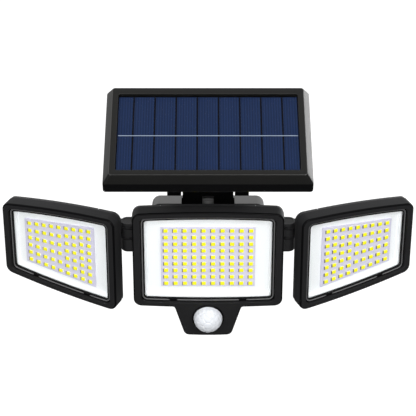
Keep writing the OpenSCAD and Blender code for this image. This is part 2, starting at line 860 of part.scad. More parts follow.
module centre_leds() {
    color("#ffee20") in_head()
        for (i = [0:led_columns - 1], j = [0:led_rows - 1])
            translate([(i - (led_columns - 1) / 2) * led_pitch_x, 0,
                centre_board_rise + (j - (led_rows - 1) / 2) * led_pitch_z]) led();
}

// Each column spreads its own count between the board's slanted edges
module side_leds(side) {
    n = len(side_led_counts);
    color("#ffee20") in_side(side) side_board_place()
        for (i = [0:n - 1]) {
            x = side_led_edge_x + (side_board[0] - 2 * side_led_edge_x) * i / (n - 1);
            half = pane_half(side_board, x) - side_led_edge_z;
            for (j = [0:side_led_counts[i] - 1])
                translate([x, 0, half * (2 * j / (side_led_counts[i] - 1) - 1)]) led();
        }
}

module side_board_place() {
    translate([(side_window_w - side_board_w) / 2 + side_board_shift, 0, -side_board_drop]) children();
}

// Flange and tapered tub at the back of a head, with the ribs that clamp the reflector
module tub_block(p) {
    slab(bezel_back, flange_back)
        pane_2d(p, border - flange_inset, head_corner_r - flange_inset, crown_rise, p[3]);
    hull() {
        slab(flange_back - skin, flange_back) pane_2d(p, tub_margin, head_corner_r, crown_rise);
        slab(tub_back - skin, tub_back) pane_2d(p, tub_margin - tub_taper, head_corner_r, 0);
    }
    slab(clamp_y, bezel_back + skin) pane_2d(p, clamp_out, window_corner_r + rim_ledge, crown_rise);
}

module tub_cuts(p) {
    hull() {
        slab(clamp_y - overrun, bezel_back) pane_2d(p, 0, window_corner_r, crown_rise);
        slab(tub_back - tub_wall - skin, tub_back - tub_wall)
            pane_2d(p, tub_margin - tub_taper - tub_wall, window_corner_r, 0);
    }
    head_screw_places(p) {
        rod_y(bezel_back - overrun, flange_back + overrun, head_screw_r + bore_clearance);
        rod_y(flange_back - head_screw_head_t - skin, flange_back + overrun,
            head_screw_head_r + bore_clearance);
    }
}

module cooling_ribs(p) {
    for (t = rib_shares)
        translate([t * p[0] - rib_t / 2, tub_back - skin,
            -pane_half(p, p[0]) + 2 * tub_taper])
            cube([rib_t, rib_h + skin, 2 * (pane_half(p, p[0]) - 2 * tub_taper)]);
}

module head_screws(p) {
    color("silver") head_screw_places(p) {
        rod_y(lens_t + overrun, flange_back - head_screw_head_t, head_screw_r);
        rod_y(flange_back - head_screw_head_t, flange_back, head_screw_head_r);
    }
}

// Side hinges

// Leaf of a hinge seen from above: a round end on the axis and an arm of the given length along +x
module leaf_2d(r, arm) {
    circle(r);
    translate([0, -r]) square([arm, 2 * r]);
}

spine_x = knuckle_r + spine_gap;

// The centre head's arms: a spine from the flange along the tub's side and three leaves
module centre_arms() {
    for (side = [-1, 1])
        mirror([side < 0 ? 1 : 0, 0, 0]) translate([hinge_x, hinge_y, 0]) {
            translate([-spine_x - spine_depth, flange_back - skin - hinge_y, stack_bottom])
                cube([spine_depth, hinge_y - flange_back + skin + knuckle_r,
                    leaf_z(4) + arm_top_t - stack_bottom]);
            for (i = [0, 2, 4])
                translate([0, 0, leaf_z(i)]) mirror([1, 0, 0])
                    linear_extrude(stack[i]) leaf_2d(knuckle_r, spine_x + overrun);
        }
}

stack_top = leaf_z(4) + arm_top_t;

// Bore of the bolt, the seat of its head on top and the nut's pocket underneath
module centre_arm_cuts() {
    for (side = [-1, 1])
        mirror([side < 0 ? 1 : 0, 0, 0]) translate([hinge_x, hinge_y, 0]) {
            translate([0, 0, stack_bottom - overrun])
                cylinder(h = stack_top - stack_bottom + 2 * overrun, r = hinge_bolt_r + bore_clearance);
            translate([0, 0, stack_bottom - overrun])
                cylinder(h = overrun + hinge_nut_t + hinge_pocket, r = hinge_head_r + bore_clearance,
                    $fn = 6);
            translate([0, 0, stack_top - hinge_head_t - hinge_pocket])
                cylinder(h = hinge_head_t + hinge_pocket + overrun, r = hinge_head_r + bore_clearance);
        }
}

module hinge_bolt(side) {
    color("silver") in_head() mirror([side < 0 ? 1 : 0, 0, 0]) translate([hinge_x, hinge_y, 0]) {
        translate([0, 0, stack_top - hinge_pocket - hinge_head_t])
            cylinder(h = hinge_head_t, r = hinge_head_r);
        translate([0, 0, stack_bottom + hinge_pocket])
            cylinder(h = stack_top - stack_bottom - 2 * hinge_pocket, r = hinge_bolt_r);
    }
}

module hinge_nut(side) {
    color("silver") in_head() mirror([side < 0 ? 1 : 0, 0, 0])
        translate([hinge_x, hinge_y, stack_bottom + hinge_pocket])
            difference() {
                cylinder(h = hinge_nut_t, r = hinge_head_r, $fn = 6);
                translate([0, 0, -overrun])
                    cylinder(h = hinge_nut_t + 2 * overrun, r = hinge_bolt_r + bore_clearance);
            }
}

// The side head's links, in its own frame: two leaves and a spine from the flange along the tub
module side_links() {
    translate([-hinge_inset, hinge_depth, side_drop]) {
        translate([spine_x - overrun, flange_back - skin - hinge_depth, leaf_z(1)])
            cube([spine_depth, hinge_depth - flange_back + skin + link_r,
                leaf_z(3) + link_top_t - leaf_z(1)]);
        for (i = [1, 3])
            translate([0, 0, leaf_z(i)]) linear_extrude(stack[i]) leaf_2d(link_r, spine_x);
    }
}

module side_link_cuts() {
    translate([-hinge_inset, hinge_depth, side_drop + leaf_z(1) - overrun])
        cylinder(h = leaf_z(3) + link_top_t - leaf_z(1) + 2 * overrun,
            r = hinge_bolt_r + bore_clearance);
}

module side_housing(side) {
    color("#1f1f21") in_side(side) difference() {
        union() {
            tub_block(side_pane);
            cooling_ribs(side_pane);
            side_links();
        }
        tub_cuts(side_pane);
        side_link_cuts();
    }
}

// Centre head

module chin_2d(inset) {
    r = max(chin_r - inset, window_corner_r / 2);
    half_top = chin_w_top / 2 - inset;
    half_low = chin_w_low / 2 - inset;
    offset(r = r, $fn = soft_fn) polygon([
        [-half_top + r, -chin_root + overrun], [half_top - r, -chin_root + overrun],
        [half_top - r, -border_bottom], [half_low - r, chin_bottom + inset + r + overrun / 2],
        [0, chin_bottom + inset + r], [-half_low + r, chin_bottom + inset + r + overrun / 2],
        [-half_top + r, -border_bottom]]);
}

module centre_bezel() {
    color("#242426") difference() {
        union() {
            in_centre() bezel_block(centre_pane);
            in_head() hull() {
                slab(-face_rise, -face_rise + skin) chin_2d(face_soft);
                slab(-face_rise + face_soft, bezel_back) chin_2d(0);
            }
        }
        in_centre() bezel_cuts(centre_pane);
        in_head() {
            // space behind the chin's face, the dome's hole and its collar seat
            slab(0, bezel_back + overrun) intersection() {
                chin_2d(chin_wall);
                translate([-chin_w_top, chin_bottom]) square([2 * chin_w_top, chin_h - chin_wall]);
            }
            rod_y(0, dome_t + fit_gap, dome_flange_r + fit_gap / 2, 0, dome_z);
            rod_y(-face_rise - overrun, overrun, dome_r + fit_gap / 2, 0, dome_z);
            rod_y(-face_rise - overrun, -face_rise + collar_seat, collar_out_r + bore_clearance, 0, dome_z);
            translate([0, button_y, chin_bottom - overrun])
                cylinder(h = chin_wall + 2 * overrun, r = button_r + bore_clearance);
        }
    }
}

module centre_housing() {
    ear_mid = head_ear_in + head_ear_w / 2;
    color("#1f1f21") in_head() difference() {
        union() {
            translate([-window_w / 2, 0, 0]) {
                tub_block(centre_pane);
                cooling_ribs(centre_pane);
            }
            slab(bezel_back, flange_back) chin_2d(flange_inset);
            centre_arms();
            // ears of the tilt hinge
            for (x = [-1, 1])
                bar(x * ear_mid - head_ear_w / 2, x * ear_mid + head_ear_w / 2)
                    translate([head_pivot_back, -head_pivot_drop]) {
                        circle(head_ear_r);
                        translate([tub_back - head_pivot_back - overrun, -head_ear_r])
                            square([head_pivot_back - tub_back + overrun, 2 * head_ear_r]);
                    }
            // posts that carry the sensor board
            for (x = [-1, 1])
                rod_y(sensor_pcb_y + sheet_t, bezel_back + skin, post_r, x * (sensor_pcb_w / 2 - post_r),
                    dome_z + post_r);
        }
        translate([-window_w / 2, 0, 0]) tub_cuts(centre_pane);
        centre_arm_cuts();
        rod_x(-2 * head_ear_out, 2 * head_ear_out, pivot_bolt_r + bore_clearance,
            head_pivot_back, -head_pivot_drop);
    }
}

module sensor_dome() {
    color("#f2f4f6") in_head() translate([0, -face_rise, dome_z]) rotate([90, 0, 0]) difference() {
        union() {
            sphere(dome_r);
            translate([0, 0, -face_rise]) cylinder(h = face_rise, r = dome_r);
            translate([0, 0, -face_rise - dome_t]) cylinder(h = dome_t, r = dome_flange_r);
        }
        sphere(dome_r - dome_t);
        translate([0, 0, -2 * dome_r - face_rise - dome_t]) cylinder(h = 2 * dome_r, r = 2 * dome_r);
        translate([0, 0, -face_rise - dome_t - overrun])
            cylinder(h = face_rise + dome_t + overrun, r = dome_r - dome_t);
    }
}

module sensor_collar() {
    color("#111113") in_head() difference() {
        rod_y(-face_rise - collar_rise, -face_rise + collar_seat, collar_out_r, 0, dome_z);
        rod_y(-face_rise - collar_rise - overrun, -face_rise + collar_seat + overrun,
            dome_r + bore_clearance, 0, dome_z);
    }
}

module sensor_element() {
    color("silver") in_head() rod_y(sensor_pcb_y - element_t, sensor_pcb_y, element_r, 0, dome_z);
}

module sensor_board() {
    color("darkgreen") in_head()
        translate([-sensor_pcb_w / 2, sensor_pcb_y, sensor_pcb_bottom])
            cube([sensor_pcb_w, sheet_t, sensor_pcb_top - sensor_pcb_bottom]);
}

switch_z = button_inner + button_flange_t + button_travel + fit_gap / 2;

module mode_switch() {
    color("#404044") in_head()
        translate([-switch_w / 2, sensor_pcb_y - switch_t, switch_z]) cube([switch_w, switch_t, switch_h]);
}

module mode_button() {
    color("#4a4a4c") in_head() translate([0, button_y, 0]) {
        translate([0, 0, chin_bottom - button_proud])
            cylinder(h = button_inner - chin_bottom + button_proud, r = button_r);
        translate([0, 0, button_inner]) cylinder(h = button_flange_t, r = button_r + button_flange);
    }
}

base_housing();
base_back_cover();
base_gasket();
battery();
control_board();
base_screws();
panel_pivot_bolt();
panel_pivot_nut();
head_pivot_bolt();
head_pivot_nut();
panel_frame();
panel_cover_sheet();
solar_cells();
panel_back_sheet();
panel_gasket();
panel_back_cover();
panel_bracket();
bracket_screws();
panel_screws();
centre_bezel();
centre_housing();
in_centre() lens(centre_pane);  // centre_lens
in_centre() lens_seal(centre_pane);  // centre_lens_seal
in_centre() reflector(centre_pane);  // centre_reflector
centre_led_board();
centre_leds();
in_centre() head_screws(centre_pane);  // centre_screws
sensor_dome();
sensor_collar();
sensor_element();
sensor_board();
mode_switch();
mode_button();
hinge_bolt(-1);  // left_hinge_bolt
hinge_nut(-1);  // left_hinge_nut
hinge_bolt(1);  // right_hinge_bolt
hinge_nut(1);  // right_hinge_nut
side_bezel(-1);  // left_bezel
side_housing(-1);  // left_housing
in_side(-1) lens(side_pane);  // left_lens
in_side(-1) lens_seal(side_pane);  // left_lens_seal
in_side(-1) reflector(side_pane);  // left_reflector
in_side(-1) side_board_place() led_board(side_board);  // left_led_board
side_leds(-1);  // left_leds
in_side(-1) head_screws(side_pane);  // left_screws
side_bezel(1);  // right_bezel
side_housing(1);  // right_housing
in_side(1) lens(side_pane);  // right_lens
in_side(1) lens_seal(side_pane);  // right_lens_seal
in_side(1) reflector(side_pane);  // right_reflector
in_side(1) side_board_place() led_board(side_board);  // right_led_board
side_leds(1);  // right_leds
in_side(1) head_screws(side_pane);  // right_screws
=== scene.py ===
"""Solar wall light with three hinged flood heads: its finishes, dressed pieces and studio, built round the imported
frame of solids."""

from collections import namedtuple

import bmesh
import bpy
import numpy as np
from bpy.props import FloatProperty, FloatVectorProperty, IntProperty, PointerProperty
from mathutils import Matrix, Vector


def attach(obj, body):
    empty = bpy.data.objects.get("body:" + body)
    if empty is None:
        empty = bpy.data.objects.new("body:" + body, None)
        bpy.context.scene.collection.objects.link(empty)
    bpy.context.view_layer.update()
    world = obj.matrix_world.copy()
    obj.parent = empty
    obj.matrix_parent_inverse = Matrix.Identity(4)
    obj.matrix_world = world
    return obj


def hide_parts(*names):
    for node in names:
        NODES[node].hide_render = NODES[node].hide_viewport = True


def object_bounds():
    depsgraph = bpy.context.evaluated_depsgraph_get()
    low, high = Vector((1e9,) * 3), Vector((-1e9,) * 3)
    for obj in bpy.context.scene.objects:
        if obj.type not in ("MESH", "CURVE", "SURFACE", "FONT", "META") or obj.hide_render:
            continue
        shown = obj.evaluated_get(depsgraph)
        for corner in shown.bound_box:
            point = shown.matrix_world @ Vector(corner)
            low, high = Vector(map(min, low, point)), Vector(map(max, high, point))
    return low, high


bl_info = {
    "name": "Solar Wall Light",
    "version": (1, 0, 0),
    "blender": (4, 2, 0),
    "location": "View3D > Sidebar > Wall Light",
    "description": "Dresses a solar wall light with three LED heads and a motion sensor",
    "category": "Object",
}

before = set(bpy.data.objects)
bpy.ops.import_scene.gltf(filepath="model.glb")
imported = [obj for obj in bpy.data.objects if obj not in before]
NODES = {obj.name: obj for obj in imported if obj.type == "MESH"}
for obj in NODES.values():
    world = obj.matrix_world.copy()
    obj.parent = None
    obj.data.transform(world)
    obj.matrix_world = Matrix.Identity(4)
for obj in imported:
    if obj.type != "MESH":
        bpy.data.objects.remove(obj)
CAD_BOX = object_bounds()
MM = 0.001
# points closer than this, in metres, are merged
MERGE_M = 2e-7


def new_object(name, data):
    """An object of the scene that holds the data."""
    obj = bpy.data.objects.new(name, data)
    bpy.context.scene.collection.objects.link(obj)
    return obj


def metres(name, default, text):
    """A length that the user can set."""
    return FloatProperty(name=name, default=default, unit="LENGTH", description=text)


# ---- colours and shader nodes


def linear(colour):
    """A colour as linear RGBA. One that the user sets is linear already. sRGB hex text turns to it by c/12.92 up to
    0.04045, above it ((c+0.055)/1.055)^2.4."""
    if not isinstance(colour, str):
        return tuple(colour)
    c = np.array([int(colour[i : i + 2], 16) for i in (1, 3, 5)]) / 255
    lin = np.where(c <= 0.04045, c / 12.92, ((c + 0.055) / 1.055) ** 2.4)
    return (*lin.tolist(), 1.0)


def tone(name, text, description):
    """A colour that the user can set, from its hex text."""
    return FloatVectorProperty(name=name, default=linear(text), size=4, subtype="COLOR", min=0, max=1,
                               description=description)


def add_node(mat, kind, links=None, **settings):
    """Adds one shader node to a material or world. A setting is one of its attributes, or else an input by its
    name; i0, i1... are inputs by number."""

    def socket(key):
        if key[0] == "i" and key[1:].isdigit():
            return node.inputs[int(key[1:])]
        return next(s for s in node.inputs if s.name.lower().replace(" ", "_") == key)

    node = mat.node_tree.nodes.new(kind)
    for key, value in settings.items():
        if hasattr(node, key):
            setattr(node, key, value)
        else:
            socket(key).default_value = value
    for key, source in (links or {}).items():
        mat.node_tree.links.new(source, socket(key))
    return node


def link(mat, source, target, name):
    """Joins an output to another node's input, given by its name or number."""
    mat.node_tree.links.new(source, target.inputs[name])


def set_inputs(shader, **values):
    """Sets a shader's inputs by name, with _ for a space."""
    for name, value in values.items():
        shader.inputs[name.replace("_", " ")].default_value = value


def empty_material(name):
    """A material with nothing but its output."""
    mat = bpy.data.materials.new(name)
    mat.use_nodes = True
    mat.node_tree.nodes.clear()
    return mat, add_node(mat, "ShaderNodeOutputMaterial")


def new_material(name):
    """A material with its Principled shader and output, and the object's own coordinates in metres."""
    mat, out = empty_material(name)
    shader = add_node(mat, "ShaderNodeBsdfPrincipled")
    link(mat, shader.outputs[0], out, 0)
    place = add_node(mat, "ShaderNodeTexCoord").outputs["Object"]
    return mat, shader, place


def per_mm(size):
    """A texture's scale that gives one feature in every size millimetres."""
    return 1 / (size * MM)


# width of the flow marks in moulded plastic, in millimetres
FLOW_MM = 38


def moulded_plastic(name, colour, flow_colour, roughness, grain_mm, grain_depth_mm, specular):
    """Injection-moulded plastic: a fine spark-eroded grain, flow marks some 40 mm wide that shade it faintly from
    one colour to the other, and a slightly uneven gloss."""
    mat, shader, place = new_material(name)
    flow = add_node(mat, "ShaderNodeTexNoise", {"vector": place}, scale=per_mm(FLOW_MM), detail=3.0)
    tint = add_node(mat, "ShaderNodeMix", {"i0": flow.outputs["Fac"]}, data_type="RGBA",
                    i6=linear(colour), i7=linear(flow_colour))
    link(mat, tint.outputs[2], shader, "Base Color")
    gloss = add_node(mat, "ShaderNodeMapRange", {"value": flow.outputs["Fac"]},
                     to_min=roughness - 0.04, to_max=roughness + 0.05)
    link(mat, gloss.outputs[0], shader, "Roughness")
    grain = add_node(mat, "ShaderNodeTexNoise", {"vector": place}, scale=per_mm(grain_mm), detail=2.0)
    bump = add_node(mat, "ShaderNodeBump", {"height": grain.outputs["Fac"]},
                    distance=grain_depth_mm * MM, strength=0.6)
    link(mat, bump.outputs[0], shader, "Normal")
    set_inputs(shader, IOR=1.5, Specular_IOR_Level=specular)
    return mat


def plain(name, colour, roughness, ior=1.5, metallic=0.0, speck_mm=0.8, speck=0.06, depth_mm=0.01, specular=0.5):
    """Paint, board, rubber or metal with a faint speckle of its own size in colour and height."""
    mat, shader, place = new_material(name)
    dots = add_node(mat, "ShaderNodeTexNoise", {"vector": place}, scale=per_mm(speck_mm), detail=3.0)
    low, high = ((*(min(1.0, c * k) for c in linear(colour)[:3]), 1.0) for k in (1 - speck, 1 + speck))
    tint = add_node(mat, "ShaderNodeMix", {"i0": dots.outputs["Fac"]}, data_type="RGBA", i6=low, i7=high)
    link(mat, tint.outputs[2], shader, "Base Color")
    bump = add_node(mat, "ShaderNodeBump", {"height": dots.outputs["Fac"]}, distance=depth_mm * MM, strength=0.5)
    link(mat, bump.outputs[0], shader, "Normal")
    set_inputs(shader, Roughness=roughness, Metallic=metallic)
    if not metallic:
        set_inputs(shader, IOR=ior, Specular_IOR_Level=specular)
    return mat


def clear_sheet(name, tint, gloss_share, roughness):
    """Clear moulded sheet: light goes straight through, and a gloss lies on its outer faces by Fresnel."""
    mat, out = empty_material(name)
    clear = add_node(mat, "ShaderNodeBsdfTransparent", i0=linear(tint))
    gloss = add_node(mat, "ShaderNodeBsdfGlossy", roughness=roughness)
    edge = add_node(mat, "ShaderNodeFresnel", ior=1.49)
    face = add_node(mat, "ShaderNodeNewGeometry")
    outer = add_node(mat, "ShaderNodeMapRange", {"value": face.outputs["Backfacing"]},
                     to_min=gloss_share, to_max=0.0)
    share = add_node(mat, "ShaderNodeMath", {"i0": edge.outputs[0], "i1": outer.outputs[0]}, operation="MULTIPLY")
    mix = add_node(mat, "ShaderNodeMixShader", {"i0": share.outputs[0], "i1": clear.outputs[0],
                                                "i2": gloss.outputs[0]})
    link(mat, mix.outputs[0], out, 0)
    return mat


# pitch of the fingers and width of the streaks, in millimetres, and the scale that draws the streaks out
FINGER_PITCH, STREAK_MM, STREAK_STRETCH = 1.875, 4, 0.015


def silicon(name, colour, finger_colour):
    """Polycrystalline silicon: a blue anti-reflection coat under printed silver fingers, with faint long streaks
    of the sawn wafer's grain. Real fingers are 0.1 mm wide, so they are drawn as coarser soft lines, eight to a
    cell; the wave's scale is pi / (10 pitch), and its phase puts a crest on the gap between cells."""
    mat, shader, place = new_material(name)
    along = add_node(mat, "ShaderNodeMapping", {"vector": place}, i3=(1.0, STREAK_STRETCH, STREAK_STRETCH))
    streaks = add_node(mat, "ShaderNodeTexNoise", {"vector": along.outputs[0]}, scale=per_mm(STREAK_MM), detail=3.0)
    fingers = add_node(mat, "ShaderNodeTexWave", {"vector": place}, scale=np.pi / 10 * per_mm(FINGER_PITCH),
                       phase_offset=np.pi / 2)
    both = add_node(mat, "ShaderNodeMix", {"i2": fingers.outputs["Fac"], "i3": streaks.outputs["Fac"]},
                    data_type="FLOAT", i0=0.35)
    blue = add_node(mat, "ShaderNodeMix", {"i0": both.outputs[0]}, data_type="RGBA",
                    i6=linear(colour), i7=linear(finger_colour))
    link(mat, blue.outputs[2], shader, "Base Color")
    set_inputs(shader, Roughness=0.42, Specular_IOR_Level=0.06)
    return mat


# ---- frames, in millimetres


def shift(x, y, z):
    """Matrix that moves by x, y and z."""
    m = np.eye(4)
    m[:3, 3] = x, y, z
    return m


def turn(axis, degrees):
    """Matrix of a right-handed turn about X, which is axis 0, or Z, which is axis 2."""
    a, b = [i for i in range(3) if i != axis]
    c, s = np.cos(np.radians(degrees)), np.sin(np.radians(degrees))
    m = np.eye(4)
    m[a, a] = m[b, b] = c
    m[a, b], m[b, a] = -s, s
    return m


# the panel's and the heads' tilt, and each side head's swing, in degrees
PANEL_TILT, HEAD_PITCH, SWING = 34.1, 20, 24.9
# the hinges' axes, and the way from each to the panel's middle, the centre window's middle, and the inner end of
# a side window
PANEL_PIVOT, PANEL_ARM = (0, -15, 27), (0, -7.5, 0)
HEAD_PIVOT, HEAD_ARM = (0, -37.8, 6), (0, -26, 2.5)
SIDE_PIVOT, SIDE_ARM = (57.5, 19, -5.3), (7, -20.9, 0)

# left for right, and turns that point a piece's Z to the wall, away from it, or down
FLIP = np.diag([-1.0, 1.0, 1.0, 1.0])
FACING_BACK = np.array([[1, 0, 0, 0], [0, 0, 1, 0], [0, -1, 0, 0], [0, 0, 0, 1]], float)
FACING_FRONT = np.array([[1, 0, 0, 0], [0, 0, -1, 0], [0, 1, 0, 0], [0, 0, 0, 1]], float)
FACING_DOWN = np.diag([1.0, -1.0, -1.0, 1.0])
# frames of the panel and the centre head, and from a head to the side head on its right
PANEL = shift(*PANEL_PIVOT) @ turn(0, PANEL_TILT) @ shift(*PANEL_ARM)
HEAD = shift(*HEAD_PIVOT) @ turn(0, HEAD_PITCH) @ shift(*HEAD_ARM)
TO_SIDE = shift(*SIDE_PIVOT) @ turn(2, SWING) @ shift(*SIDE_ARM)


def placed(points, frame):
    """Points of a frame as points of the light: the frame's matrix times each point."""
    return points @ frame[:3, :3].T + frame[:3, 3]


# ---- surfaces worked out with numpy

# the most of a side that the rounding of one of its corners takes
SIDE_SHARE = 0.49


def soft_profile(points, reach, steps=5):
    """A polyline with each corner P rounded: B(t) = (1-t)^2 A + 2t(1-t) P + t^2 C, where A and C lie on the two
    sides at the corner's own reach from it, as far as the side allows. The first three columns give a side's
    length, and any others are carried along."""
    p, t = np.asarray(points, float), np.linspace(0, 1, steps)[:, None]
    rows = [p[:1]]
    for i in range(1, len(p) - 1):
        back, on = p[i - 1] - p[i], p[i + 1] - p[i]
        lb, lo = np.linalg.norm(back[:3]), np.linalg.norm(on[:3])
        r = min(reach[i], lb * SIDE_SHARE, lo * SIDE_SHARE)
        if r <= 0:
            rows.append(p[i : i + 1])
            continue
        a, c = p[i] + back * r / lb, p[i] + on * r / lo
        rows.append((1 - t) ** 2 * a + 2 * t * (1 - t) * p[i] + t**2 * c)
    return np.vstack([*rows, p[-1:]])


def on_circle(centre, radius, angles):
    """Points centre + radius (cos a, sin a)."""
    return centre + radius * np.stack([np.cos(angles), np.sin(angles)], -1)


def arc(centre, radius, start, end, steps):
    """Inner points of an arc from start to end, both left out."""
    return on_circle(centre, radius, np.linspace(start, end, steps + 2)[1:-1])


def rounded_rectangle(w, l, r, steps=8, along=8):
    """Outline of w by l, anticlockwise: a quarter circle round each corner's centre, then the straight side as far
    as the next one."""
    corners = np.array([[1, 1], [-1, 1], [-1, -1], [1, -1]]) * [w / 2 - r, l / 2 - r]
    t = np.linspace(0, 1, along + 2)[1:-1, None]
    parts = []
    for k, c in enumerate(corners):
        quarter = on_circle(c, r, np.linspace(k * np.pi / 2, (k + 1) * np.pi / 2, steps + 2))
        parts += [quarter, quarter[-1] + (corners[(k + 1) % 4] - c) * t]
    return np.vstack(parts)


def grid_faces(rows, columns, close_rows=False):
    """Quads between neighbouring points of a grid whose rows run one after another, and are closed loops."""
    i = np.arange(rows if close_rows else rows - 1)[:, None]
    j = np.arange(columns)[None, :]
    up, on = (i + 1) % rows, (j + 1) % columns
    quad = np.stack([i * columns + j, i * columns + on, up * columns + on, up * columns + j], -1)
    return quad.reshape(-1, 4)


def ring_shell(grid):
    """A closed ring, such as a frame: the grid's rows go round its section, its columns round its outline."""
    return grid.reshape(-1, 3), grid_faces(*grid.shape[:2], close_rows=True).tolist()


def capped_shell(grid):
    """A closed body of stacked outlines: the first and last are filled with one face."""
    rows, cols = grid.shape[:2]
    faces = grid_faces(rows, cols).tolist()
    faces += [list(range(cols))[::-1], list(range((rows - 1) * cols, rows * cols))]
    return grid.reshape(-1, 3), faces


def turned(profile, steps=72):
    """A turned body: each (radius, height) of the profile carried round Z as (r cos a, r sin a, h)."""
    a = np.linspace(0, 2 * np.pi, steps, endpoint=False)
    r, h = np.asarray(profile, float).T
    return np.stack([r[:, None] * np.cos(a), r[:, None] * np.sin(a), h[:, None] + 0 * a], -1)


def box_shell(x, y, z):
    """A box from pairs of limits: two rectangles, capped."""
    ring = np.array([[x[0], y[0]], [x[1], y[0]], [x[1], y[1]], [x[0], y[1]]], float)
    return capped_shell(np.stack([np.insert(ring, 2, h, axis=1) for h in z]))


def repeated(shell, offsets):
    """One shell copied to every offset: vertices + offset, faces counted on."""
    v, f = np.asarray(shell[0]), shell[1]
    offsets = np.asarray(offsets, float)
    verts = (v[None] + offsets[:, None]).reshape(-1, 3)
    return verts, [[i + k * len(v) for i in face] for k in range(len(offsets)) for face in f]


def moved(shell, frame):
    """A frame's shell in the light's own coordinates."""
    return placed(np.asarray(shell[0]), frame), shell[1]


def shell_mesh(name, shells):
    """One mesh from shells in the light's millimetres: doubles merged and faces turned outwards."""
    verts, faces, n = [], [], 0
    for v, f in shells:
        verts.append(np.asarray(v) * MM)
        faces += [[i + n for i in face] for face in f]
        n += len(v)
    mesh = bpy.data.meshes.new(name)
    mesh.from_pydata(np.vstack(verts).tolist(), [], faces)
    bm = bmesh.new()
    bm.from_mesh(mesh)
    bmesh.ops.remove_doubles(bm, verts=bm.verts, dist=MERGE_M)
    bmesh.ops.dissolve_degenerate(bm, edges=bm.edges, dist=MERGE_M / 20)
    bmesh.ops.recalc_face_normals(bm, faces=bm.faces)
    bm.to_mesh(mesh)
    bm.free()
    return mesh


def make_piece(name, shells, finish, body, replaces=(), angle=32):
    """One piece from shells, smooth where faces meet at less than the angle, in degrees. It rides on its body and
    may stand for frame nodes."""
    mesh = shell_mesh(name, shells)
    mesh.shade_smooth()
    mesh.set_sharp_from_angle(angle=np.radians(angle))
    mesh.materials.append(FINISHES[finish])
    obj = new_object(name, mesh)
    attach(obj, body)
    if replaces:
        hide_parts(*replaces)
    return obj


def second_finish(obj, frame, finish, test):
    """Gives another finish to the faces that pass the test, which sees each face's centre and normal in the
    frame, in millimetres."""
    mesh, back = obj.data, np.linalg.inv(frame)
    centre, normal = np.empty((2, 3 * len(mesh.polygons)))
    mesh.polygons.foreach_get("center", centre)
    mesh.polygons.foreach_get("normal", normal)
    index = np.zeros(len(mesh.polygons), dtype=np.int32)
    mesh.polygons.foreach_get("material_index", index)
    chosen = test(placed(centre.reshape(-1, 3) / MM, back), normal.reshape(-1, 3) @ back[:3, :3].T)
    index[chosen] = len(mesh.materials)
    mesh.materials.append(FINISHES[finish])
    mesh.polygons.foreach_set("material_index", index)


# ---- window outlines

# length, inner and outer height of a window, and the border's extra width at its two ends
Pane = namedtuple("Pane", "length inner outer extra")
CENTRE_PANE, SIDE_PANE = Pane(90.6, 65.6, 65.6, 1.4), Pane(75.5, 63.7, 47.6, 0.8)
# each head's window, and its frame, which starts at the window's inner end
HEADS = {
    "centre": (CENTRE_PANE, HEAD @ shift(-CENTRE_PANE.length / 2, 0, 0)),
    "left": (SIDE_PANE, HEAD @ FLIP @ TO_SIDE),
    "right": (SIDE_PANE, HEAD @ TO_SIDE),
}
# width of the border round a window, rise of its crowned edges, and corner radii of a head and of a window
BORDER, CROWN, HEAD_R, WINDOW_R = 7.0, 1.2, 6.0, 2.2
# depths behind a window's plane: the bezel's face, the ledge inside its rim, and its back edge
FACE, LEDGE, BEZEL_BACK = -2.5, -0.3, 7.5
# height of the sensor's middle in the centre head's frame
DOME_Z = -50.3


def pane_top(pane, s, core):
    """Height and slope of the crowned edge at distance s: half height + core times the lean's stretch + crown
    (1 - (2s/L - 1)^2)."""
    lean = (pane.outer - pane.inner) / (2 * pane.length)
    along = 2 * s / pane.length - 1
    z = pane.inner / 2 + lean * s + core * np.hypot(1, lean) + CROWN * (1 - along**2)
    return z, lean - 4 * CROWN / pane.length * along


def pane_edge(pane, s, core, r):
    """Points of the upper edge: the crowned edge moved outwards by r along its normal."""
    z, slope = pane_top(pane, s, core)
    n = np.stack([-slope, np.ones_like(s)], -1) / np.hypot(1, slope)[:, None]
    return np.stack([s, z], -1) + r * n


# points of an outline: along an upper edge, down an end, inside a corner's arc, beside the chin, down the chin's
# side and along its bottom
ACROSS, DOWN, ARC, BESIDE, CHIN_SIDE, CHIN_LOW = 27, 9, 8, 10, 7, 11
CHIN_POINTS = 2 * (2 * ARC + CHIN_SIDE + 4) + CHIN_LOW


def pane_outline(pane, m, r, chin=None, extra=0.0):
    """Outline of a window grown by m, and by extra more at its two ends, corner radius r, clockwise from its upper
    inner corner. chin is None for a plain outline, "even" where the lower edge takes the chin's number of points,
    or the chin's own inset."""
    core = m - r
    reach = core + extra
    s = np.linspace(-reach, pane.length + reach, ACROSS)
    top = pane_edge(pane, s, core, r)
    # centre of the corner's arc at either end, and the angle at which the upper edge meets it
    z, slope = pane_top(pane, s, core)
    c0, c1 = np.array([s[0], z[0]]), np.array([s[-1], z[-1]])
    a0, a1 = np.arctan2(1, -slope[[0, -1]])
    down = np.linspace(1, -1, DOWN)[:, None]
    right = np.hstack([np.full((DOWN, 1), c1[0] + r), down * c1[1]])
    left = np.hstack([np.full((DOWN, 1), c0[0] - r), -down * c0[1]])
    mirror = np.array([1, -1])
    low = top[::-1] * mirror if chin is None else lower_edge(pane, core, r, chin, reach)
    return np.vstack([
        top, arc(c1, r, a1, 0, ARC), right, arc(c1 * mirror, r, 0, -a1, ARC), low,
        arc(c0 * mirror, r, -a0, -np.pi, ARC), left, arc(c0, r, np.pi, a0, ARC),
    ])


